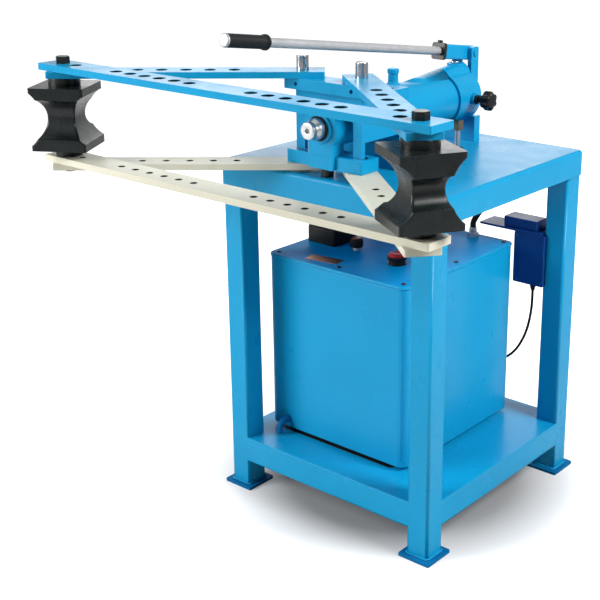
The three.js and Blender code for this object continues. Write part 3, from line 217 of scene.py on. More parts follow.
FINISH = {
    "blue_paint": paint("blue_paint", BLUE),
    # Darker blue: painted shade on the drain, and the darker foot plates
    "dirt_and_shade_blue_paint": paint("dirt_and_shade_blue_paint", DIRT_AND_SHADE_BLUE, 0.46, 0, 0.03),
    # Lid top: painted light, a lit copy of the blue paint
    "lid_top_painted_light": paint("lid_top_painted_light", LID_TOP_LIGHT_BLUE, 0.46, 0, 0.03),
    "dark_blue_paint": paint("dark_blue_paint", DARK_BLUE, 0.34),
    "cream_paint": paint("cream_paint", CREAM, 0.40),
    "cast_black": casting("cast_black", CHARCOAL),
    "polished_steel": steel("polished_steel", STEEL, 0.16, (1, 14, 1)),
    "pin_steel": steel("pin_steel", PIN_STEEL, 0.10, (1, 1, 9)),
    "dull_steel": steel("dull_steel", DULL_STEEL, 0.42, (3, 0.4, 3), 0.25),
    "satin_steel": steel("satin_steel", GREY_STEEL, 0.38, (1, 9, 1)),
    "ram_steel": steel("ram_steel", GREY_STEEL, 0.26, (1, 14, 1)),
    "black_rubber": moulded("black_rubber", RUBBER, 0.55, 700, 0.00012),
    "black_plastic": moulded("black_plastic", PLASTIC, 0.36),
    "red_plastic": moulded("red_plastic", RED, 0.32),
    "dark_red_plastic": moulded("dark_red_plastic", DARK_RED, 0.34),
    "brass_metal": steel("brass_metal", BRASS, 0.24),
    "bronze_plate": steel("bronze_plate", BRONZE, 0.36, (1, 12, 1)),
}


# Mesh helpers
HOLE_SIDES = 48


def add_object(name, data):
    thing = bpy.data.objects.new(name, data)
    bpy.context.scene.collection.objects.link(thing)
    return thing


def smooth_object(name, form, mesh):
    bmesh.ops.recalc_face_normals(form, faces=form.faces)
    for face in form.faces:
        face.smooth = True
    form.to_mesh(mesh)
    form.free()
    return add_object(name, mesh)


def mesh_object(name, vertices, faces):
    mesh = bpy.data.meshes.new(name)
    mesh.from_pydata([tuple(point) for point in vertices], [], faces)
    form = bmesh.new()
    form.from_mesh(mesh)
    bmesh.ops.remove_doubles(form, verts=form.verts, dist=1e-6)
    return smooth_object(name, form, mesh)


def rounded_ring(x0, x1, y0, y1, radius, z, steps=6):
    points = []
    corners = [(x1 - radius, y0 + radius), (x1 - radius, y1 - radius)]
    corners += [(x0 + radius, y1 - radius), (x0 + radius, y0 + radius)]
    for quarter, (x, y) in enumerate(corners):
        for step in range(steps + 1):
            angle = (quarter - 1 + step / steps) * math.pi / 2
            points.append(Vector((x + radius * math.cos(angle), y + radius * math.sin(angle), z)))
    return points


def circle_ring(radius, z, sides=64):
    turn = math.tau / sides
    return [Vector((radius * math.cos(i * turn), radius * math.sin(i * turn), z)) for i in range(sides)]


def loft(name, rings, matrix=Matrix(), capped=True):
    count = len(rings[0])
    vertices = [matrix @ point for ring in rings for point in ring]
    faces = []
    for row in range(len(rings) - 1):
        for column in range(count):
            after = (column + 1) % count
            low, high = row * count, (row + 1) * count
            faces.append((low + column, low + after, high + after, high + column))
    if capped:
        faces.append(tuple(reversed(range(count))))
        faces.append(tuple(range((len(rings) - 1) * count, len(rings) * count)))
    return mesh_object(name, vertices, faces)


# Rounds every inner corner of a profile with a short curve
def softened(profile, radius, steps=4):
    points = [Vector(point) for point in profile]
    result = [points[0]]
    for before, corner, after in zip(points, points[1:], points[2:]):
        reach_in = min(radius, (before - corner).length / 2)
        reach_out = min(radius, (after - corner).length / 2)
        start = corner + (before - corner).normalized() * reach_in
        end = corner + (after - corner).normalized() * reach_out
        for step in range(steps + 1):
            t = step / steps
            result.append(start * (1 - t) ** 2 + corner * 2 * t * (1 - t) + end * t**2)
    return result + [points[-1]]


def lathe(name, profile, matrix, soft=0.0008, sides=64):
    rings = [circle_ring(radius, height, sides) for radius, height in softened(profile, soft)]
    return loft(name, rings, matrix, capped=False)


# A round rod along local +Z, or a tube where it has an inner radius
def rod(name, radius, low, high, matrix, soft=0.0008, sides=64, inner=0):
    return lathe(name, [(inner, low), (radius, low), (radius, high), (inner, high)], matrix, soft, sides)


# Local +Z turned along the world's -Y
def along_minus_y(x, z, y=0):
    return Matrix.Translation((x, y, z)) @ Matrix.Rotation(math.pi / 2, 4, "X")


def upright_at(x, y, z=0):
    return Matrix.Translation((x, y, z))


# A node's corners and the upright frame at its middle
def upright_box(node):
    low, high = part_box(node)
    centre = (low + high) / 2
    return low, high, upright_at(centre.x, centre.y)


def plate(name, outline, holes, bottom, top, matrix=Matrix()):
    form = bmesh.new()
    edges = []
    for loop in [outline, *holes]:
        points = [form.verts.new((x, y, bottom)) for x, y in loop]
        edges += [form.edges.new(pair) for pair in zip(points, points[1:] + points[:1])]
    bmesh.ops.triangle_fill(form, use_beauty=True, use_dissolve=False, edges=edges)
    raised = bmesh.ops.extrude_face_region(form, geom=list(form.faces))
    moved = [item for item in raised["geom"] if isinstance(item, bmesh.types.BMVert)]
    bmesh.ops.translate(form, vec=(0, 0, top - bottom), verts=moved)
    form.transform(matrix)
    return smooth_object(name, form, bpy.data.meshes.new(name))


def hole(x, y, radius):
    turn = math.tau / HOLE_SIDES
    return [(x + radius * math.cos(i * turn), y + radius * math.sin(i * turn)) for i in range(HOLE_SIDES)]


# Keeps the flat faces of a smooth-shaded form flat
def flat_normals(thing):
    normals = thing.modifiers.new("normals", "WEIGHTED_NORMAL")
    normals.weight = 60
    normals.keep_sharp = False
    return thing


# Rounds the sharp edges of a form and keeps its flats flat
def soft_edges(thing, width=0.0010, segments=3, imported=False):
    if imported:
        weld = thing.modifiers.new("weld", "WELD")
        weld.merge_threshold = 0.00001
    flats = thing.modifiers.new("flats", "DECIMATE")
    flats.decimate_type = "DISSOLVE"
    flats.angle_limit = math.radians(0.6)
    edge = thing.modifiers.new("edge", "BEVEL")
    edge.width = width
    edge.segments = segments
    edge.limit_method = "ANGLE"
    edge.angle_limit = math.radians(32)
    edge.use_clamp_overlap = True
    return flat_normals(thing)


# A path's rings turn with it without twisting
def swept(name, path, radii, sides):
    path = [Vector(point) for point in path]
    ahead = [(b - a).normalized() for a, b in zip(path, path[1:])]
    tangents = [ahead[0]] + [(a + b).normalized() for a, b in zip(ahead, ahead[1:])] + [ahead[-1]]
    side = tangents[0].orthogonal().normalized()
    rings = []
    for point, tangent, radius in zip(path, tangents, radii):
        side = (side - tangent * side.dot(tangent)).normalized()
        lift = tangent.cross(side)
        turns = [index * math.tau / sides for index in range(sides)]
        rings.append([point + (side * math.cos(t) + lift * math.sin(t)) * radius for t in turns])
    return loft(name, rings)


# A bead whose thickness swells once per pitch
def weld_bead(name, path, radius, pitch=0.0045):
    points, radii = [], []
    for start, end in zip(path, path[1:]):
        start, end = Vector(start), Vector(end)
        count = max(2, round((end - start).length / pitch * 4))
        for step in range(count):
            points.append(start.lerp(end, step / count))
            radii.append(radius * (0.82 + 0.18 * math.cos(step * math.pi / 2)))
    points.append(Vector(path[-1]))
    radii.append(radius * 0.6)
    return swept(name, points, radii, 10)


# The smooth curve through the points that the part's own cords follow
def centripetal(points, steps):
    points = [Vector(point) for point in points]
    padded = [points[0] * 2 - points[1], *points, points[-1] * 2 - points[-2]]
    result = []
    for p0, p1, p2, p3 in zip(padded, padded[1:], padded[2:], padded[3:]):
        t1 = (p1 - p0).length ** 0.5
        t2 = t1 + (p2 - p1).length ** 0.5
        t3 = t2 + (p3 - p2).length ** 0.5
        for step in range(steps):
            t = t1 + (t2 - t1) * step / steps
            a1 = p0.lerp(p1, t / t1)
            a2 = p1.lerp(p2, (t - t1) / (t2 - t1))
            a3 = p2.lerp(p3, (t - t2) / (t3 - t2))
            b1 = a1.lerp(a2, t / t2)
            b2 = a2.lerp(a3, (t - t1) / (t3 - t1))
            result.append(b1.lerp(b2, (t - t1) / (t2 - t1)))
    return result + [points[-1]]


# Gives a piece its finish and its body, and hides the CAD nodes that it stands for
def place(thing, finish, *nodes, body="root"):
    thing.data.materials.clear()
    thing.data.materials.append(FINISH[finish])
    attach(thing, body)
    if nodes:
        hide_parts(*nodes)


def middle(node):
    low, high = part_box(node)
    return (low + high) / 2


# Camera, lights and floor
def make_camera():
    data = bpy.data.cameras.new("camera")
    data.lens = CAMERA_LENS
    data.sensor_width = CAMERA_SENSOR
    data.shift_x, data.shift_y = CAMERA_SHIFT
    data.clip_start = 0.05
    data.clip_end = 60
    camera = add_object("camera", data)
    camera.location = CAMERA_PLACE
    camera.rotation_euler = (CAMERA_TILT, 0, CAMERA_TURN)
    bpy.context.scene.camera = camera


# 1 for rays of the named kinds, 0 for all others
def ray_is(tree, *kinds):
    light_path = tree.nodes.new("ShaderNodeLightPath")
    total = light_path.outputs[kinds[0]]
    for kind in kinds[1:]:
        total = combine(tree, "MAXIMUM", total, light_path.outputs[kind])
    return total


# Bright and dark bands round the horizon, as flags and softboxes stand round a studio
BANDS = [(0.000, 0.90), (0.385, 0.90), (0.405, 0.08), (0.470, 0.08), (0.500, 0.80),
         (0.765, 0.80), (0.780, 0.10), (0.815, 0.10), (0.835, 0.95), (0.905, 0.95),
         (0.918, 0.08), (0.950, 0.08), (0.965, 0.90)]


def mirrored_bands(tree):
    place_at = tree.nodes.new("ShaderNodeTexCoord")
    around = tree.nodes.new("ShaderNodeTexGradient")
    around.gradient_type = "RADIAL"
    tree.links.new(place_at.outputs["Generated"], around.inputs["Vector"])
    ramp = tree.nodes.new("ShaderNodeValToRGB")
    stops = ramp.color_ramp.elements
    for index, (position, level) in enumerate(BANDS):
        stop = stops[index] if index < 2 else stops.new(position)
        stop.position = position
        stop.color = (level, level, level, 1)
    tree.links.new(around.outputs["Fac"], ramp.inputs["Fac"])
    return ramp.outputs["Color"]


def background(tree, colour, strength):
    node = tree.nodes.new("ShaderNodeBackground")
    node.inputs["Color"].default_value = colour
    node.inputs["Strength"].default_value = strength
    return node


def mixed(tree, share, first, second):
    node = tree.nodes.new("ShaderNodeMixShader")
    for source, socket in zip((share, first.outputs[0], second.outputs[0]), node.inputs):
        tree.links.new(source, socket)
    return node


SOFT_COLOUR = (0.93, 0.96, 1, 1)
SOFT_STRENGTH = 0.07
BAND_STRENGTH = 0.85
WHITE = (1, 1, 1, 1)


def make_world():
    world = bpy.data.worlds.new("studio")
    world.use_nodes = True
    tree = world.node_tree
    tree.nodes.remove(tree.nodes["Background"])
    bands = background(tree, WHITE, BAND_STRENGTH)
    tree.links.new(mirrored_bands(tree), bands.inputs["Color"])
    inner = mixed(tree, ray_is(tree, "Is Glossy Ray"), background(tree, SOFT_COLOUR, SOFT_STRENGTH), bands)
    shown = ray_is(tree, "Is Camera Ray", "Is Transmission Ray")
    outer = mixed(tree, shown, inner, background(tree, WHITE, 1))
    tree.links.new(outer.outputs[0], tree.nodes["World Output"].inputs[0])
    bpy.context.scene.world = world


# The bench stands behind the middle of the whole machine. Under it the floor is darker and glows less: a
# painted shadow round the bench.
BENCH_OFF = 0.1886
FLOOR_HALF = 14
# Painted shadow: the floor's colour and glow rise with distance from the bench
FLOOR_PAINTED_SHADOW_GREY = (0.30, 0.78, 0.28, 0.55)
FLOOR_GLOW_WITH_PAINTED_SHADOW = (0.05, 0.95, 0.30, 0.66)
GLOSSY_SHARE = 0.4


def make_floor():
    material = bpy.data.materials.new("floor")
    material.use_nodes = True
    tree = material.node_tree
    tree.nodes.remove(tree.nodes["Principled BSDF"])
    where = tree.nodes.new("ShaderNodeNewGeometry")
    distance = tree.nodes.new("ShaderNodeVectorMath")
    distance.operation = "DISTANCE"
    tree.links.new(where.outputs["Position"], distance.inputs[0])
    distance.inputs[1].default_value = (0, (CAD_BOX[0].y + CAD_BOX[1].y) / 2 + BENCH_OFF, 0)
    matt = tree.nodes.new("ShaderNodeBsdfDiffuse")
    # Painted shadow: the floor's colour is darker near the bench
    tree.links.new(spread(tree, distance.outputs["Value"], *FLOOR_PAINTED_SHADOW_GREY), matt.inputs["Color"])
    glow = tree.nodes.new("ShaderNodeEmission")
    # Painted shadow: the floor's glow is weaker near the bench
    level = spread(tree, distance.outputs["Value"], *FLOOR_GLOW_WITH_PAINTED_SHADOW)
    glossy = spread(tree, ray_is(tree, "Is Glossy Ray"), 0, GLOSSY_SHARE, 0, 1)
    share = combine(tree, "MAXIMUM", glossy, ray_is(tree, "Is Camera Ray"))
    tree.links.new(combine(tree, "MULTIPLY", level, share), glow.inputs["Strength"])
    both = tree.nodes.new("ShaderNodeAddShader")
    tree.links.new(matt.outputs[0], both.inputs[0])
    tree.links.new(glow.outputs[0], both.inputs[1])
    tree.links.new(both.outputs[0], tree.nodes["Material Output"].inputs[0])
    corners = [(x * FLOOR_HALF, y * FLOOR_HALF, 0) for x, y in ((-1, -1), (1, -1), (1, 1), (-1, 1))]
    floor = mesh_object("floor", corners, [(0, 1, 2, 3)])
    floor.data.materials.append(material)


def make_lamp(name, place_at, aim, power, size):
    data = bpy.data.lights.new(name, "AREA")
    data.energy = power
    data.shape = "DISK"
    data.size = size
    lamp = add_object(name, data)
    lamp.location = place_at
    lamp.rotation_mode = "QUATERNION"
    lamp.rotation_quaternion = (Vector(aim) - Vector(place_at)).to_track_quat("-Z", "Y")


# Name, place, aim, watts and width of each lamp
LAMPS = [
    ("key", (2.9, 0.5, 3.0), (0, 0.2, 0.7), 168, 1.6),
    ("top", (-0.4, 0.2, 3.6), (0, 0.1, 0.7), 8, 2.4),
    ("fill", (-2.2, -3.0, 2.0), (0, 0, 0.6), 172, 2.4),
    ("back", (-2.2, 2.7, 1.6), (0, 0, 0.8), 38, 3.0),
]

make_camera()
make_world()
make_floor()
for lamp in LAMPS:
    make_lamp(*lamp)


# Cords
def make_lead():
    path = centripetal(LEAD_ROUTE, ROUTE_STEPS)
    data = bpy.data.curves.new("motor_lead_cable", "CURVE")
    data.dimensions = "3D"
    data.bevel_depth = LEAD_DIAMETER / 2
    data.bevel_resolution = 6
    data.use_fill_caps = True
    spline = data.splines.new("POLY")
    spline.points.add(len(path) - 1)
    for point, place_at in zip(spline.points, path):
        point.co = (*place_at, 1)
    lead = add_object("motor_lead_cable", data)
    place(lead, "black_rubber", "motor_lead")


make_lead()


# Bench
TUBE = 0.060
TUBE_ROUND = 0.007
FOOT_THICKNESS = 0.008
FOOT_ROUND = 0.004
WELD_RADIUS = 0.0034
# The shelf runs this far into the legs' rounding
SHELF_SETBACK = TUBE - TUBE_ROUND + 0.0002
TABLE_SHEET = 0.005
TABLE_ROUND = 0.009
TABLE_CORNER = 0.016
SKIRT = 0.0047


# A slab with rounded corners, and with rounded edges round its top and bottom
def soft_slab(name, x0, x1, y0, y1, z0, z1, corner, edge, steps=6):
    angles = [step / steps * math.pi / 2 for step in range(steps + 1)]
    curve = [(edge * (1 - math.sin(angle)), z0 + edge * (1 - math.cos(angle))) for angle in angles]
    curve += [(edge * (1 - math.cos(angle)), z1 - edge * (1 - math.sin(angle))) for angle in angles]
    rings = [rounded_ring(x0 + inset, x1 - inset, y0 + inset, y1 - inset, max(corner - inset, 0.0004), z)
             for inset, z in curve]
    return loft(name, rings)


def make_leg(node):
    low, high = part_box(node)
    centre = (low + high) / 2
    half = TUBE / 2
    rings = [rounded_ring(centre.x - half, centre.x + half, centre.y - half, centre.y + half, TUBE_ROUND, z)
             for z in (FOOT_THICKNESS, high.z)]
    place(flat_normals(loft(node + "_tube", rings)), "blue_paint", node)
    # The foot plates take the darker blue, darker than the legs
    foot = soft_slab(node + "_foot", low.x, high.x, low.y, high.y, 0, FOOT_THICKNESS, FOOT_ROUND, 0.0012)
    place(flat_normals(foot), "dirt_and_shade_blue_paint")
    reach = half + 0.001
    loop = rounded_ring(centre.x - reach, centre.x + reach, centre.y - reach, centre.y + reach, TUBE_ROUND,
                        FOOT_THICKNESS + 0.0012, 3)
    place(weld_bead(node + "_weld", loop + loop[:1], WELD_RADIUS), "blue_paint")


def make_shelf():
    low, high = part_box("shelf")
    half = TUBE / 2
    middle_z = low.z + half
    x0, x1 = low.x + SHELF_SETBACK, high.x - SHELF_SETBACK
    y0, y1 = low.y + SHELF_SETBACK, high.y - SHELF_SETBACK
    rails = [("left", (-y1, -y0), (low.x + half, 0, middle_z), "X"),
             ("right", (-y1, -y0), (high.x - half, 0, middle_z), "X"),
             ("front", (x0, x1), (0, low.y + half, middle_z), "Y"),
             ("rear", (x0, x1), (0, high.y - half, middle_z), "Y")]
    for side, ends, centre, axis in rails:
        rail = [rounded_ring(-half, half, -half, half, TUBE_ROUND, end) for end in ends]
        turn = Matrix.Translation(centre) @ Matrix.Rotation(math.pi / 2, 4, axis)
        place(flat_normals(loft("shelf_rail_" + side, rail, turn)), "blue_paint", "shelf")
    outline = [(x0, low.y), (x1, low.y), (x1, y0), (high.x, y0), (high.x, y1), (x1, y1),
               (x1, high.y), (x0, high.y), (x0, y1), (low.x, y1), (low.x, y0), (x0, y0)]
    sheet = plate("shelf_plate", outline, [], low.z + SHELF_SETBACK, high.z)
    place(soft_edges(sheet, 0.0016), "blue_paint")


def make_table():
    low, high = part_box("table_top")
    steps = 8
    curve = [(SKIRT, high.z - TABLE_SHEET), (SKIRT, low.z), (0, low.z)]
    for step in range(steps + 1):
        angle = step / steps * math.pi / 2
        curve.append((TABLE_ROUND * (1 - math.cos(angle)), high.z - TABLE_ROUND * (1 - math.sin(angle))))
    rings = [rounded_ring(low.x + inset, high.x - inset, low.y + inset, high.y - inset,
                          TABLE_CORNER - inset, z, steps) for inset, z in curve]
    place(flat_normals(loft("table_pan", rings)), "blue_paint", "table_top")


for end in ("front", "rear"):
    for side in ("left", "right"):
        make_leg(f"leg_{end}_{side}")
make_shelf()
make_table()


# Tank and what stands on its lid
TANK_ROUND = 0.020
SKID_HEIGHT = 0.010
SKID_HALF = 0.015
SKID_INSET = 0.045
LID_THICKNESS = 0.0083
LID_EDGE = 0.0025
LID_SCREW_INSET = 0.022
SQUARE_SIGNS = ((1, 1), (1, -1), (-1, 1), (-1, -1))


def make_tank():
    low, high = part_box("tank_shell")
    lid_top = high.z + LID_THICKNESS
    shell = soft_slab("tank_body", low.x, high.x, low.y, high.y, low.z + SKID_HEIGHT, high.z, TANK_ROUND, 0.003)
    place(flat_normals(shell), "blue_paint", "tank_shell")
    for side, x in (("left", low.x + SKID_INSET), ("right", high.x - SKID_INSET)):
        bar = soft_slab("tank_skid_" + side, x - SKID_HALF, x + SKID_HALF, low.y + SKID_INSET,
                        high.y - SKID_INSET, low.z, low.z + SKID_HEIGHT + 0.001, 0.002, 0.001)
        place(flat_normals(bar), "blue_paint")
    seam_x, seam_y = high.x - TANK_ROUND * 0.55, low.y + 0.0003
    seam = weld_bead("tank_corner_seam", [(seam_x, seam_y, low.z + 0.03), (seam_x, seam_y, high.z - 0.004)],
                     0.0016, 0.006)
    place(seam, "blue_paint")
    low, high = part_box("tank_lid")
    lid = soft_slab("tank_lid_sheet", low.x, high.x, low.y, high.y, low.z, lid_top, TANK_ROUND + 0.002,
                    LID_EDGE)
    place(flat_normals(lid), "blue_paint", "tank_lid")
    # Painted light: a thin sheet over the lid's top in its own blue stands in for how light falls there; the
    # rounded rim keeps the blue paint
    edge = LID_EDGE + 0.0006
    coat = soft_slab("tank_lid_painted_light", low.x + edge, high.x - edge, low.y + edge, high.y - edge,
                     lid_top - 0.0004, lid_top + 0.0002, TANK_ROUND - 0.001, 0.0002, 2)
    place(flat_normals(coat), "lid_top_painted_light")
    # Painted shadow: a thin dark sheet in the black rubber finish on the shelf under the tank darkens the gap
    # beneath it
    base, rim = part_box("tank_shell")
    shadow_sheet = soft_slab("tank_shadow_sheet", base.x + 0.034, rim.x - 0.034, base.y + 0.002, rim.y - 0.002,
                    base.z - 0.0002, base.z + 0.0006, TANK_ROUND, 0.0002, 2)
    place(flat_normals(shadow_sheet), "black_rubber")
    centre = (low + high) / 2
    left, right = low.x + LID_SCREW_INSET, high.x - LID_SCREW_INSET
    front, rear = low.y + LID_SCREW_INSET, high.y - LID_SCREW_INSET
    spots = [(x, y) for x in (left, centre.x, right) for y in (front, rear)]
    spots += [(left, centre.y), (right, centre.y)]
    for index, (x, y) in enumerate(spots):
        screw = pan_screw(f"lid_screw_{index}", upright_at(x, y, lid_top), 0.0062, 0.0034)
        place(screw, "cast_black")
    return lid_top


def pan_screw(name, matrix, radius, height):
    slot_radius = radius * 0.42
    profile = [(0, height * 0.35), (slot_radius, height * 0.35), (slot_radius * 1.15, height * 0.9),
               (radius * 0.8, height * 0.85), (radius, height * 0.3), (radius, -0.0004)]
    return lathe(name, profile, matrix, 0.0006, 24)


def make_terminal_box(lid_top):
    low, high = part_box("motor_terminal_box")
    seam = low.z + (high.z - low.z) * 0.62
    base = soft_slab("terminal_box_base", low.x, high.x, low.y, high.y, low.z, seam - 0.0008, 0.009, 0.0012)
    place(flat_normals(base), "black_plastic", "motor_terminal_box")
    cover = soft_slab("terminal_box_cover", low.x, high.x, low.y, high.y, seam + 0.0004, high.z, 0.009, 0.005)
    place(flat_normals(cover), "black_plastic")
    filler = soft_slab("terminal_box_seal", low.x + 0.0015, high.x - 0.0015, low.y + 0.0015, high.y - 0.0015,
                       seam - 0.002, seam + 0.002, 0.008, 0.0005)
    place(flat_normals(filler), "black_rubber")
    for index, (sx, sy) in enumerate(SQUARE_SIGNS):
        x = (low.x + high.x) / 2 + sx * ((high.x - low.x) / 2 - 0.012)
        y = (low.y + high.y) / 2 + sy * ((high.y - low.y) / 2 - 0.012)
        place(pan_screw(f"terminal_box_screw_{index}", upright_at(x, y, high.z - 0.001), 0.0042, 0.0024),
              "satin_steel")


# A round knob with shallow flutes round its rim
def fluted(name, radius, z0, z1, flutes, depth, edge, matrix, sides=144):
    def ring(reach, z):
        points = []
        for index in range(sides):
            angle = index * math.tau / sides
            r = reach - depth * (0.5 - 0.5 * math.cos(angle * flutes))
            points.append(Vector((r * math.cos(angle), r * math.sin(angle), z)))
        return points
    profile = softened([(radius - edge * 1.2, z0), (radius, z0 + edge), (radius, z1 - edge),
                        (radius - edge * 1.6, z1)], edge)
    return loft(name, [ring(reach, z) for reach, z in profile], matrix)


def make_knobs(lid_top):
    low, high, at = upright_box("relief_knob")
    centre = (low + high) / 2
    radius = (high.x - low.x) / 2
    place(rod("relief_knob_stem", 0.0095, lid_top - 0.001, low.z, at, 0.0006), "satin_steel")
    knob = fluted("relief_knob_body", radius, low.z, high.z - 0.0022, 18, 0.0012, 0.0022, at)
    place(knob, "black_plastic", "relief_knob", body="relief_knob")
    cap = lathe("relief_knob_cap", [(0, high.z), (radius * 0.72, high.z), (radius * 0.8, high.z - 0.003),
                                    (radius * 0.8, high.z - 0.006)], at, 0.0008)
    place(cap, "dark_red_plastic", body="relief_knob")
    mark = soft_slab("relief_knob_mark", centre.x - 0.0011, centre.x + 0.0011, centre.y - radius * 0.66,
                     centre.y - radius * 0.1, high.z - 0.0006, high.z + 0.0002, 0.0006, 0.0003, 3)
    place(mark, "red_plastic", body="relief_knob")

    low, high, at = upright_box("filler_cap")
    radius = (high.x - low.x) / 2
    bore, foot, mouth = 0.0165, lid_top - 0.001, low.z - 0.0002
    profile = [(bore, foot), (0.0235, foot), (0.0235, lid_top + 0.003), (0.021, lid_top + 0.004),
               (0.021, mouth), (bore, mouth)]
    place(lathe("filler_neck", profile, at, 0.0006), "black_plastic")
    rim_top = low.z + (high.z - low.z) * 0.55
    cap = fluted("filler_cap_rim", radius, low.z, rim_top, 24, 0.0013, 0.0014, at, 192)
    place(cap, "black_plastic", "filler_cap", body="filler_cap")
    profile = [(0, high.z - 0.001), (radius * 0.35, high.z - 0.001), (radius * 0.45, high.z),
               (radius * 0.70, high.z), (radius * 0.84, high.z - 0.003), (radius * 0.86, rim_top - 0.001)]
    place(lathe("filler_cap_top", profile, at, 0.0016), "red_plastic", body="filler_cap")


def make_lid_plate(lid_top):
    half_x, half_y = 0.046, 0.019
    at = upright_at(-0.116, 0.020) @ Matrix.Rotation(math.radians(8), 4, "Z")
    rings = [rounded_ring(-half_x, half_x, -half_y, half_y, 0.002, z) for z in (lid_top, lid_top + 0.0008)]
    place(soft_edges(loft("lid_bare_plate", rings, at), 0.0003, 2), "bronze_plate")
    for index, (sx, sy) in enumerate(SQUARE_SIGNS):
        spot = at @ Vector((sx * (half_x - 0.004), sy * (half_y - 0.004), lid_top + 0.0008))
        rivet = lathe(f"lid_plate_rivet_{index}", [(0, 0.0009), (0.0014, 0.0006), (0.0018, -0.0002)],
                      Matrix.Translation(spot), 0.0004, 20)
        place(rivet, "brass_metal")


def make_drain():
    low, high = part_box("drain_elbow")
    x = (low.x + high.x) / 2
    radius = (high.x - low.x) / 2
    axis_z = high.z - radius
    out_y = low.y + radius
    bend = 0.018
    path = [Vector((x, high.y, axis_z)), Vector((x, out_y + bend, axis_z))]
    for step in range(1, 10):
        angle = step / 10 * math.pi / 2
        path.append(Vector((x, out_y + bend - bend * math.sin(angle), axis_z - bend + bend * math.cos(angle))))
    path.append(Vector((x, out_y, axis_z - bend)))
    path.append(Vector((x, out_y, low.z)))
    # Painted shade: the drain's pipe, collars and tip take the darker blue
    place(swept("drain_pipe", path, [radius * 0.92] * len(path), 28), "dirt_and_shade_blue_paint", "drain_elbow")
    for index, (y, size) in enumerate(((high.y - 0.0035, 1.25), (high.y - 0.009, 1.0))):
        at = along_minus_y(x, axis_z, y)
        collar = rod(f"drain_collar_{index}", radius * size, -0.003, 0.003, at, 0.0006, 40)
        place(collar, "dirt_and_shade_blue_paint")
    tip = rod("drain_tip", radius * 0.99, -0.001, 0.007, upright_at(x, out_y, low.z + 0.001), 0.0006, 40)
    place(tip, "dirt_and_shade_blue_paint")


LID_TOP = make_tank()
make_terminal_box(LID_TOP)
make_knobs(LID_TOP)
make_lid_plate(LID_TOP)
make_drain()


# Wings
PIN_HOLE = 0.0144
BAR_HALF = 0.035
BAR_END = 0.003
BAR_EDGE = 0.0012
FIRST_HOLE = 0.087
HOLE_PITCH = 0.046
HOLE_COUNT = 6
DIAGONAL_PITCH = 0.0547
DIAGONAL_COUNT = 5
DIAGONAL_LAST = 0.166
DIE_OVERHANG = 0.034
HEAD_OVERHANG = 0.050


def bar_outline(start, end):
    steps = 4
    points = []
    corners = [(end, -BAR_HALF, -1), (end, BAR_HALF, 0), (start, BAR_HALF, 1), (start, -BAR_HALF, 2)]
    for x, y, quarter in corners:
        cx = x - math.copysign(BAR_END, x - (start + end) / 2)
        cy = y - math.copysign(BAR_END, y)
        for step in range(steps + 1):
            angle = (quarter + step / steps) * math.pi / 2
            points.append((cx + BAR_END * math.cos(angle), cy + BAR_END * math.sin(angle)))
    return points


# Dark walls in a bar's bores, a hair inside the painted bar
def bore_walls(name, spots, low, high, matrix):
    vertices, faces = [], []
    for x, y, radius in spots:
        first = len(vertices)
        for z in (low + 0.0009, high - 0.0009):
            ring = circle_ring(radius - 0.0001, z, HOLE_SIDES)
            vertices += [matrix @ (point + Vector((x, y, 0))) for point in ring]
        upper = first + HOLE_SIDES
        for index in range(HOLE_SIDES):
            after = (index + 1) % HOLE_SIDES
            faces.append((first + index, first + after, upper + after, upper + index))
    place(mesh_object(name, vertices, faces), "cast_black")


def make_wing(prefix, bore, finish):
    die = middle("die_bolt_right")
    pin = middle("wing_pin_right")
    low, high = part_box(prefix + "_front_bar")
    places = [FIRST_HOLE + index * HOLE_PITCH for index in range(HOLE_COUNT)] + [die.x - HOLE_PITCH, die.x]
    bores = [(sign * x, 0, bore) for x in places for sign in (-1, 1)]
    at = upright_at(0, die.y)
    bar = plate(prefix + "_front_flat", bar_outline(low.x, high.x), [hole(*spot) for spot in bores],
                low.z, high.z, at)
    place(soft_edges(bar, BAR_EDGE), finish, prefix + "_front_bar")
    bore_walls(prefix + "_front_bores", bores, low.z, high.z, at)
    run = math.hypot(die.x - pin.x, die.y - pin.y)
    bores = [(DIAGONAL_LAST + index * DIAGONAL_PITCH, 0, bore) for index in range(DIAGONAL_COUNT)]
    holes = [hole(0, 0, bore), hole(run, 0, PIN_HOLE)] + [hole(*spot) for spot in bores]
    for side, sign in (("left", -1), ("right", 1)):
        low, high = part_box(f"{prefix}_diagonal_{side}")
        angle = math.atan2(pin.y - die.y, sign * (pin.x - die.x))
        at = upright_at(sign * die.x, die.y) @ Matrix.Rotation(angle, 4, "Z")
        bar = plate(f"{prefix}_diagonal_flat_{side}", bar_outline(-DIE_OVERHANG, run + HEAD_OVERHANG), holes,
                    low.z, high.z, at)
        place(soft_edges(bar, BAR_EDGE), finish, f"{prefix}_diagonal_{side}")
        bore_walls(f"{prefix}_diagonal_bores_{side}", bores, low.z, high.z, at)


make_wing("upper", 0.0137, "blue_paint")
make_wing("lower", 0.0086, "cream_paint")


# Dies with a groove of another size along each side
DIE_SIDE = 0.127
DIE_ROUND = 0.005
DIE_TURNS = {"left": math.radians(121), "right": math.radians(-31)}
GROOVES = [(0.030, 0.025), (0.076, 0.029), (0.047, 0.032), (0.060, 0.033)]
DIE_BOTTOM = 0.921
DIE_TOP = 1.064
DIE_BORE = 0.0134


def groove_depth(radius, depth, height):
    across = radius * radius - height * height
    if across <= 0:
        return 0
    return max(0, math.sqrt(across) - (radius - depth))


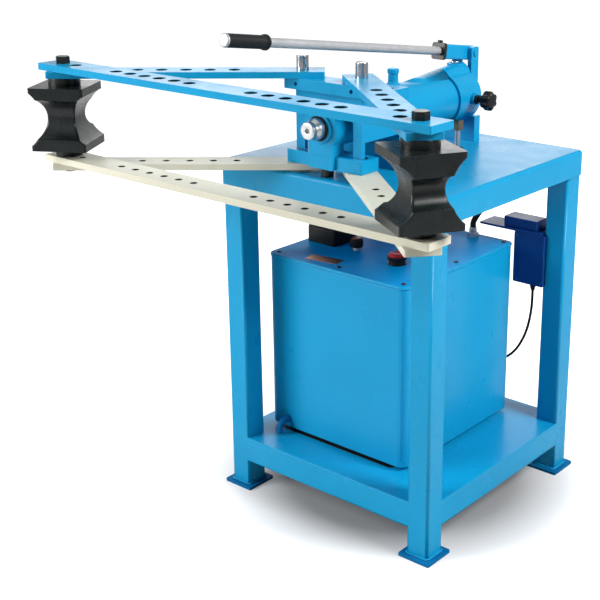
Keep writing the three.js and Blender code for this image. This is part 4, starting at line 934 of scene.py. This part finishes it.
def make_die(side):
    low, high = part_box("die_" + side)
    bolt = middle("die_bolt_" + side)
    centre = (DIE_BOTTOM + DIE_TOP) / 2
    heights = {DIE_BOTTOM, DIE_TOP}
    for radius, depth in GROOVES:
        half = math.sqrt(radius**2 - (radius - depth) ** 2)
        for step in range(25):
            heights.add(round(centre + half * math.cos(step / 24 * math.pi), 6))
    rings = []
    for z in sorted(heights):
        reach = [DIE_SIDE / 2 - groove_depth(radius, depth, z - centre) for radius, depth in GROOVES]
        rings.append(rounded_ring(-reach[2], reach[0], -reach[3], reach[1], DIE_ROUND, z, 5))
    at = Matrix.Translation((bolt.x, bolt.y, 0)) @ Matrix.Rotation(DIE_TURNS[side], 4, "Z")
    block = soft_edges(loft("die_block_" + side, rings, at), 0.0024)
    place(block, "cast_black", "die_" + side, body="die_" + side)
    upper = rod("die_upper_boss_" + side, 0.036, DIE_TOP - 0.001, high.z, at, 0.0012, inner=DIE_BORE)
    place(upper, "cast_black", body="die_" + side)
    lower = rod("die_lower_boss_" + side, 0.030, low.z, DIE_BOTTOM + 0.001, at, 0.0012, inner=DIE_BORE)
    place(lower, "cast_black", body="die_" + side)


# A hexagon head whose corners are cut by a cone
def hex_head(name, across, bottom, top, matrix, sides=72):
    flat = across / 2
    rings = [[], [], []]
    up = Vector((0, 0, 1))
    for index in range(sides):
        angle = index * math.tau / sides
        reach = flat / math.cos((angle + math.pi / 6) % (math.pi / 3) - math.pi / 6)
        shown = Vector((math.cos(angle), math.sin(angle), 0))
        rings[0].append(shown * reach + up * bottom)
        rings[1].append(shown * reach + up * (top - (reach - flat * 0.93) * 0.55))
        rings[2].append(shown * flat * 0.93 + up * top)
    return soft_edges(loft(name, rings, matrix), 0.0004, 2)


BOLT_SHOULDER = 0.9019


def make_bolt(side):
    node = "die_bolt_" + side
    low, high, at = upright_box(node)
    frame_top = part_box("upper_front_bar")[1].z
    head = hex_head(f"die_bolt_head_{side}", 0.029, frame_top + 0.0003, high.z, at)
    place(head, "cast_black", node)
    place(rod(f"die_bolt_shank_{side}", 0.013, BOLT_SHOULDER, frame_top + 0.001, at), "satin_steel")
    place(rod(f"die_bolt_tail_{side}", 0.008, low.z, BOLT_SHOULDER + 0.0011, at, 0.0012), "satin_steel")
    nut = hex_head(f"die_bolt_nut_{side}", 0.026, -(low.z + 0.0077), -low.z - 0.0002,
                   at @ Matrix.Rotation(math.pi, 4, "X"))
    place(nut, "cast_black")


for side in ("left", "right"):
    make_die(side)
    make_bolt(side)


# Pins, cylinder, ram and gland
def make_pins():
    for side in ("left", "right"):
        low, high, at = upright_box("wing_pin_" + side)
        radius = (high.x - low.x) / 2
        pin = lathe("wing_pin_rod_" + side, [(0, low.z), (radius - 0.0015, low.z), (radius, low.z + 0.0015),
                                             (radius, high.z - 0.0018), (radius - 0.0018, high.z), (0, high.z)],
                    at, 0.0004)
        place(pin, "pin_steel", "wing_pin_" + side, body="wing_pin_" + side)
        low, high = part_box("lower_pin_" + side)
        pin = rod("lower_pin_rod_" + side, radius, low.z, high.z, at, 0.0012)
        place(pin, "cast_black", "lower_pin_" + side)
    low, high, at = upright_box("support_stud")
    place(rod("support_stud_rod", 0.014, low.z, high.z, at, 0.001), "cast_black", "support_stud")


NECK_RADIUS = 0.048
NECK_END = -0.038568
BARREL_BORE = 0.0455
SEAM = 0.0015
RIB_RADIUS = 0.032
RIB_START = 0.110
# The rib's crown stands this far above the barrel's axis where it starts
RIB_CROWN = 0.057


def make_cylinder():
    axis = middle("ram").z
    low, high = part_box("cylinder_barrel")
    front, rear = -low.y, -high.y
    radius = (high.x - low.x) / 2
    profile = [(BARREL_BORE, front), (NECK_RADIUS, front), (NECK_RADIUS, NECK_END), (radius, NECK_END),
               (radius, rear + 0.003), (radius - SEAM, rear + 0.0024), (radius - SEAM, rear),
               (BARREL_BORE, rear)]
    barrel = lathe("barrel_tube", profile, along_minus_y(0, axis), 0.0012, 128)
    place(barrel, "blue_paint", "cylinder_barrel")
    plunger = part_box("pump_plunger")
    boss_top = plunger[1].z - 0.0073
    boss_y = (plunger[0].y + plunger[1].y) / 2 + 0.011
    rib_front, rib_rear = RIB_START - NECK_END, high.y - 0.003
    slope = (boss_top - axis - RIB_CROWN) / (boss_y - rib_front)
    rings = []
    for y in (rib_front, rib_rear):
        centre_z = axis + RIB_CROWN + (y - rib_front) * slope - RIB_RADIUS
        rings.append([Vector((point.x, y, centre_z + point.y)) for point in circle_ring(RIB_RADIUS, 0, 96)])
    place(flat_normals(loft("barrel_rib", rings)), "blue_paint")
    low, high, at = upright_box("port_plug")
    boss_top = low.z - 0.0003
    crown = axis + radius
    boss = lathe("barrel_port_boss", [(0, crown - 0.006), (0.0185, crown - 0.006), (0.0175, crown + 0.002),
                                      (0.0125, crown + 0.007), (0.0120, boss_top), (0, boss_top)], at, 0.002)
    place(boss, "blue_paint")
    cap = lathe("port_plug_cap", [(0, low.z), (0.014, low.z), (0.014, high.z - 0.002), (0.012, high.z),
                                  (0, high.z)], at, 0.0014)
    place(cap, "blue_paint", "port_plug")


def make_ram():
    low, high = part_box("ram")
    axis = (low.z + high.z) / 2
    nose, rear = -low.y, -high.y
    profile = [(0, nose - 0.012), (0.0055, nose - 0.012), (0.0055, nose - 0.001), (0.0065, nose),
               (0.018, nose), (0.020, nose - 0.002), (0.020, nose - 0.0115), (0.0215, nose - 0.015),
               (0.025, nose - 0.022), (0.025, rear + 0.026), (0.0447, rear + 0.026), (0.0447, rear), (0, rear)]
    place(lathe("ram_rod", profile, along_minus_y(0, axis), 0.0012, 128), "ram_steel", "ram", body="ram")
    low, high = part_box("gland_ring")
    front, rear = -low.y, -high.y
    ring_front = front - 0.008
    ring = [(0.0275, rear), (0.0275, ring_front - 0.001), (0.0285, ring_front), (0.033, ring_front),
            (0.035, ring_front - 0.002), (0.035, rear), (0.0275, rear)]
    place(lathe("gland_ring_body", ring, along_minus_y(0, axis), 0.0008, 128), "blue_paint", "gland_ring")
    wiper = [(0.0254, rear + 0.001), (0.0254, front - 0.0045), (0.0262, front - 0.003), (0.0272, front - 0.003),
             (0.0280, front - 0.0045), (0.0280, ring_front - 0.0006), (0.0270, ring_front - 0.0006),
             (0.0270, rear + 0.001), (0.0254, rear + 0.001)]
    place(lathe("gland_wiper", wiper, along_minus_y(0, axis), 0.0005, 96), "black_rubber")


make_pins()
make_cylinder()
make_ram()


# Release valve, plunger and lever
def make_valve():
    axis = middle("release_stem")
    at = Matrix.Translation((0, axis.y, axis.z)) @ Matrix.Rotation(math.pi / 2, 4, "Y")
    stem = rod("release_stem_rod", 0.0055, 0.060, 0.0985, at, 0.0004, 40)
    place(stem, "cast_black", "release_stem", body="release_valve")
    place(hex_head("release_gland_nut", 0.021, 0.0741, 0.0835, at), "cast_black")
    knob = fluted("release_knob_body", 0.0245, 0.097, 0.124, 6, 0.0042, 0.0040, at, 180)
    place(knob, "black_plastic", "release_knob", body="release_valve")
    cap = lathe("release_knob_cap", [(0.0125, 0.1236), (0.0118, 0.1242), (0, 0.1244)], at, 0.0006, 48)
    place(cap, "black_plastic", body="release_valve")


def make_plunger():
    low, high, at = upright_box("pump_plunger")
    body = lathe("plunger_rod", [(0, low.z), (0.008, low.z), (0.008, high.z - 0.007), (0.011, high.z - 0.007),
                                 (0.011, high.z - 0.003), (0.0073, high.z), (0, high.z)], at)
    place(body, "polished_steel", "pump_plunger", body="plunger")
    wiper_z = low.z + 0.074 - 0.0080
    foot, crown = wiper_z - 0.002, wiper_z + 0.0006
    profile = [(0.0086, foot), (0.0150, foot), (0.0140, crown), (0.0086, crown)]
    place(lathe("plunger_seal", profile, at, 0.0004), "black_rubber")


LEVER_TILT = math.radians(8.1)
HINGE = middle("lever_pin")
GRIP_RADIUS = 0.0145
GRIP_BORE = 0.0108
GRIP_RIBS = 23
GRIP_PITCH = 0.0044


def make_lever():
    # Local +Z runs along the lever from its hinge to its cap
    along = Matrix.Translation(HINGE) @ Matrix.Rotation(-LEVER_TILT, 4, "X")
    at = along @ Matrix.Rotation(math.pi / 2, 4, "X")
    tube = rod("lever_bar", 0.0105, 0.060, 0.848, at, 0.0004, 72, inner=0.008)
    place(tube, "dull_steel", "lever_tube", body="lever")
    profile = [(GRIP_BORE, 0.855), (0.0143, 0.855), (GRIP_RADIUS, 0.853)]
    groove = GRIP_RADIUS - 0.0004
    for rib in range(GRIP_RIBS):
        start = 0.850 - rib * GRIP_PITCH
        profile += [(GRIP_RADIUS, start), (groove, start - 0.0008), (groove, start - 0.0014),
                    (GRIP_RADIUS, start - 0.0022)]
    profile += [(GRIP_RADIUS, 0.746), (0.0168, 0.7445), (0.0170, 0.7395), (0.0150, 0.7365), (GRIP_BORE, 0.7363)]
    place(lathe("lever_grip_sleeve", profile, at, 0.0003, 72), "black_rubber", "lever_grip", body="lever")
    cap = [(0.0073, 0.8553), (GRIP_RADIUS, 0.8553), (GRIP_RADIUS, 0.8588), (0.0128, 0.861), (0, 0.861)]
    place(lathe("lever_cap", cap, at, 0.0016, 72), "dull_steel", "lever_end_cap", body="lever")
    rings = []
    for inset, reach in ((0.0010, 0.1100), (0, 0.1108), (0, 0.1204), (0.0010, 0.1212)):
        rings.append(rounded_ring(inset - 0.0193, 0.0193 - inset, inset - 0.0208, 0.0208 - inset, 0.007, reach))
    place(flat_normals(loft("lever_collar", rings, at)), "cast_black", "lever_set_screw", body="lever")
    socket = [(0, 0.0022), (0.0026, 0.0022), (0.0026, 0.0060), (0.0058, 0.0060), (0.0065, 0.0052), (0.0065, 0)]
    spot = along @ Matrix.Translation((0, -0.1155, 0.0206))
    place(lathe("lever_screw_head", socket, spot, 0.0005, 40), "cast_black", body="lever")


make_valve()
make_plunger()
make_lever()


# Oil line. The hose passes these shares of its reach, run and rise
HOSE_RADIUS = 0.008
HOSE_REACH = 0.092
HOSE_SHARES = [(0, 0, 0.05), (0.06, 0, 0.12), (0.33, 0.02, 0.31), (0.72, 0.13, 0.55),
               (1, 0.34, 0.75), (0.96, 0.66, 0.92), (0.66, 0.93, 0.99)]


def make_oil_line():
    low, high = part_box("lid_fitting")
    start = Vector(((low.x + high.x) / 2, (low.y + high.y) / 2, high.z + 0.0003))
    nut_top = (low.z + high.z) / 2
    at = upright_at(start.x, start.y)
    place(hex_head("lid_fitting_nut", 0.027, low.z, nut_top, at), "satin_steel", "lid_fitting")
    place(rod("lid_fitting_sleeve", 0.0100, nut_top, high.z, at), "satin_steel")
    low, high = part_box("riser_pipe")
    x, y = high.x - 0.024, (low.y + high.y) / 2
    at = upright_at(x, y)
    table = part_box("table_top")[1].z
    table_under = table - TABLE_SHEET
    bend_half = 0.010
    bend_z = low.z + bend_half
    place(rod("riser_rod", 0.007, bend_z, high.z, at, 0.0006), "satin_steel", "riser_pipe")
    place(hex_head("riser_nut", 0.026, table_under - 0.016, table_under - 0.0003, at), "satin_steel")
    bend = soft_slab("riser_bend", x - bend_half, x + bend_half, y - bend_half, y + bend_half,
                     low.z, low.z + bend_half * 2, 0.002, 0.0015)
    place(flat_normals(bend), "satin_steel")
    spigot = rod("riser_spigot", HOSE_RADIUS, 0, 0.024,
                 upright_at(x, y, bend_z) @ Matrix.Rotation(math.pi / 2, 4, "Y"), 0.0006, 40)
    place(spigot, "satin_steel")
    profile = [(0.0072, table - 0.002), (0.0145, table - 0.002), (0.0150, table + 0.0018),
               (0.0105, table + 0.0042), (0.0072, table + 0.0042)]
    place(lathe("riser_grommet", profile, at, 0.001), "black_rubber")
    end = Vector((high.x + 0.0003, y, bend_z))
    route = [start]
    for out, run, rise in HOSE_SHARES:
        route.append(Vector((start.x + HOSE_REACH * out, start.y + (end.y - start.y) * run,
                             start.z + (end.z - start.z) * rise)))
    route += [Vector((end.x + HOSE_RADIUS, end.y, end.z)), end]
    path = centripetal(route, 14)
    place(swept("oil_hose_tube", path, [HOSE_RADIUS * 0.97] * len(path), 28), "black_rubber", "oil_hose")
    low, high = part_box("barrel_elbow")
    place(hex_head("elbow_nut", 0.017, low.z - 0.001, low.z + 0.007, at), "brass_metal")


make_oil_line()


# Electric box
def make_switch_box():
    low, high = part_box("switch_box_cover")
    at = Matrix.Translation(((low.x + high.x) / 2, high.y, (low.z + high.z) / 2)) @ Matrix.Rotation(
        math.pi / 2, 4, "X")
    half_x, half_z, thick = (high.x - low.x) / 2, (high.z - low.z) / 2, high.y - low.y
    rings = []
    for inset, z in ((0, 0), (0, thick - 0.002), (0.0006, thick - 0.0006), (0.002, thick)):
        rings.append(rounded_ring(-half_x + inset, half_x - inset, -half_z + inset, half_z - inset, 0.004, z))
    place(flat_normals(loft("switch_cover_shell", rings, at)), "dark_blue_paint", "switch_box_cover")
    for index, (sx, sz) in enumerate(SQUARE_SIGNS):
        spot = at @ Matrix.Translation((sx * (half_x - 0.009), sz * (half_z - 0.009), thick - 0.0002))
        place(pan_screw(f"switch_cover_screw_{index}", spot, 0.0038, 0.0022), "dark_blue_paint")


make_switch_box()


# CAD pieces whose own shape is shown, each with its finish and the width of its softened edges
KEPT = {
    "head_casting": ("blue_paint", 0.0016),
    "pump_body": ("blue_paint", 0.0014),
    "head_base_plate": ("blue_paint", 0.0016),
    "head_top_plate": ("blue_paint", 0.0012),
    "lever_pin": ("blue_paint", 0.0006),
    "lever_socket": ("blue_paint", 0.0010),
    "barrel_elbow": ("brass_metal", 0.0010),
    "switch_shelf": ("dark_blue_paint", 0.0008),
    "contactor_box": ("dark_blue_paint", 0.0008),
    "switch_box": ("dark_blue_paint", 0.0008),
    "cable_entry_housing": ("blue_paint", 0.0010),
    "switch_box_gland": ("black_plastic", 0.0004),
    "tank_gland": ("black_plastic", 0.0004),
    "pump_motor": ("satin_steel", 0.0010),
    "gear_pump": ("satin_steel", 0.0010),
    "suction_strainer": ("satin_steel", 0.0006),
}
for node, (finish, width) in KEPT.items():
    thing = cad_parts[node]
    thing.data.materials.clear()
    thing.data.materials.append(FINISH[finish])
    for face in thing.data.polygons:
        face.use_smooth = True
    soft_edges(thing, width, 2, imported=True)

bpy.context.scene.view_settings.view_transform = "Standard"
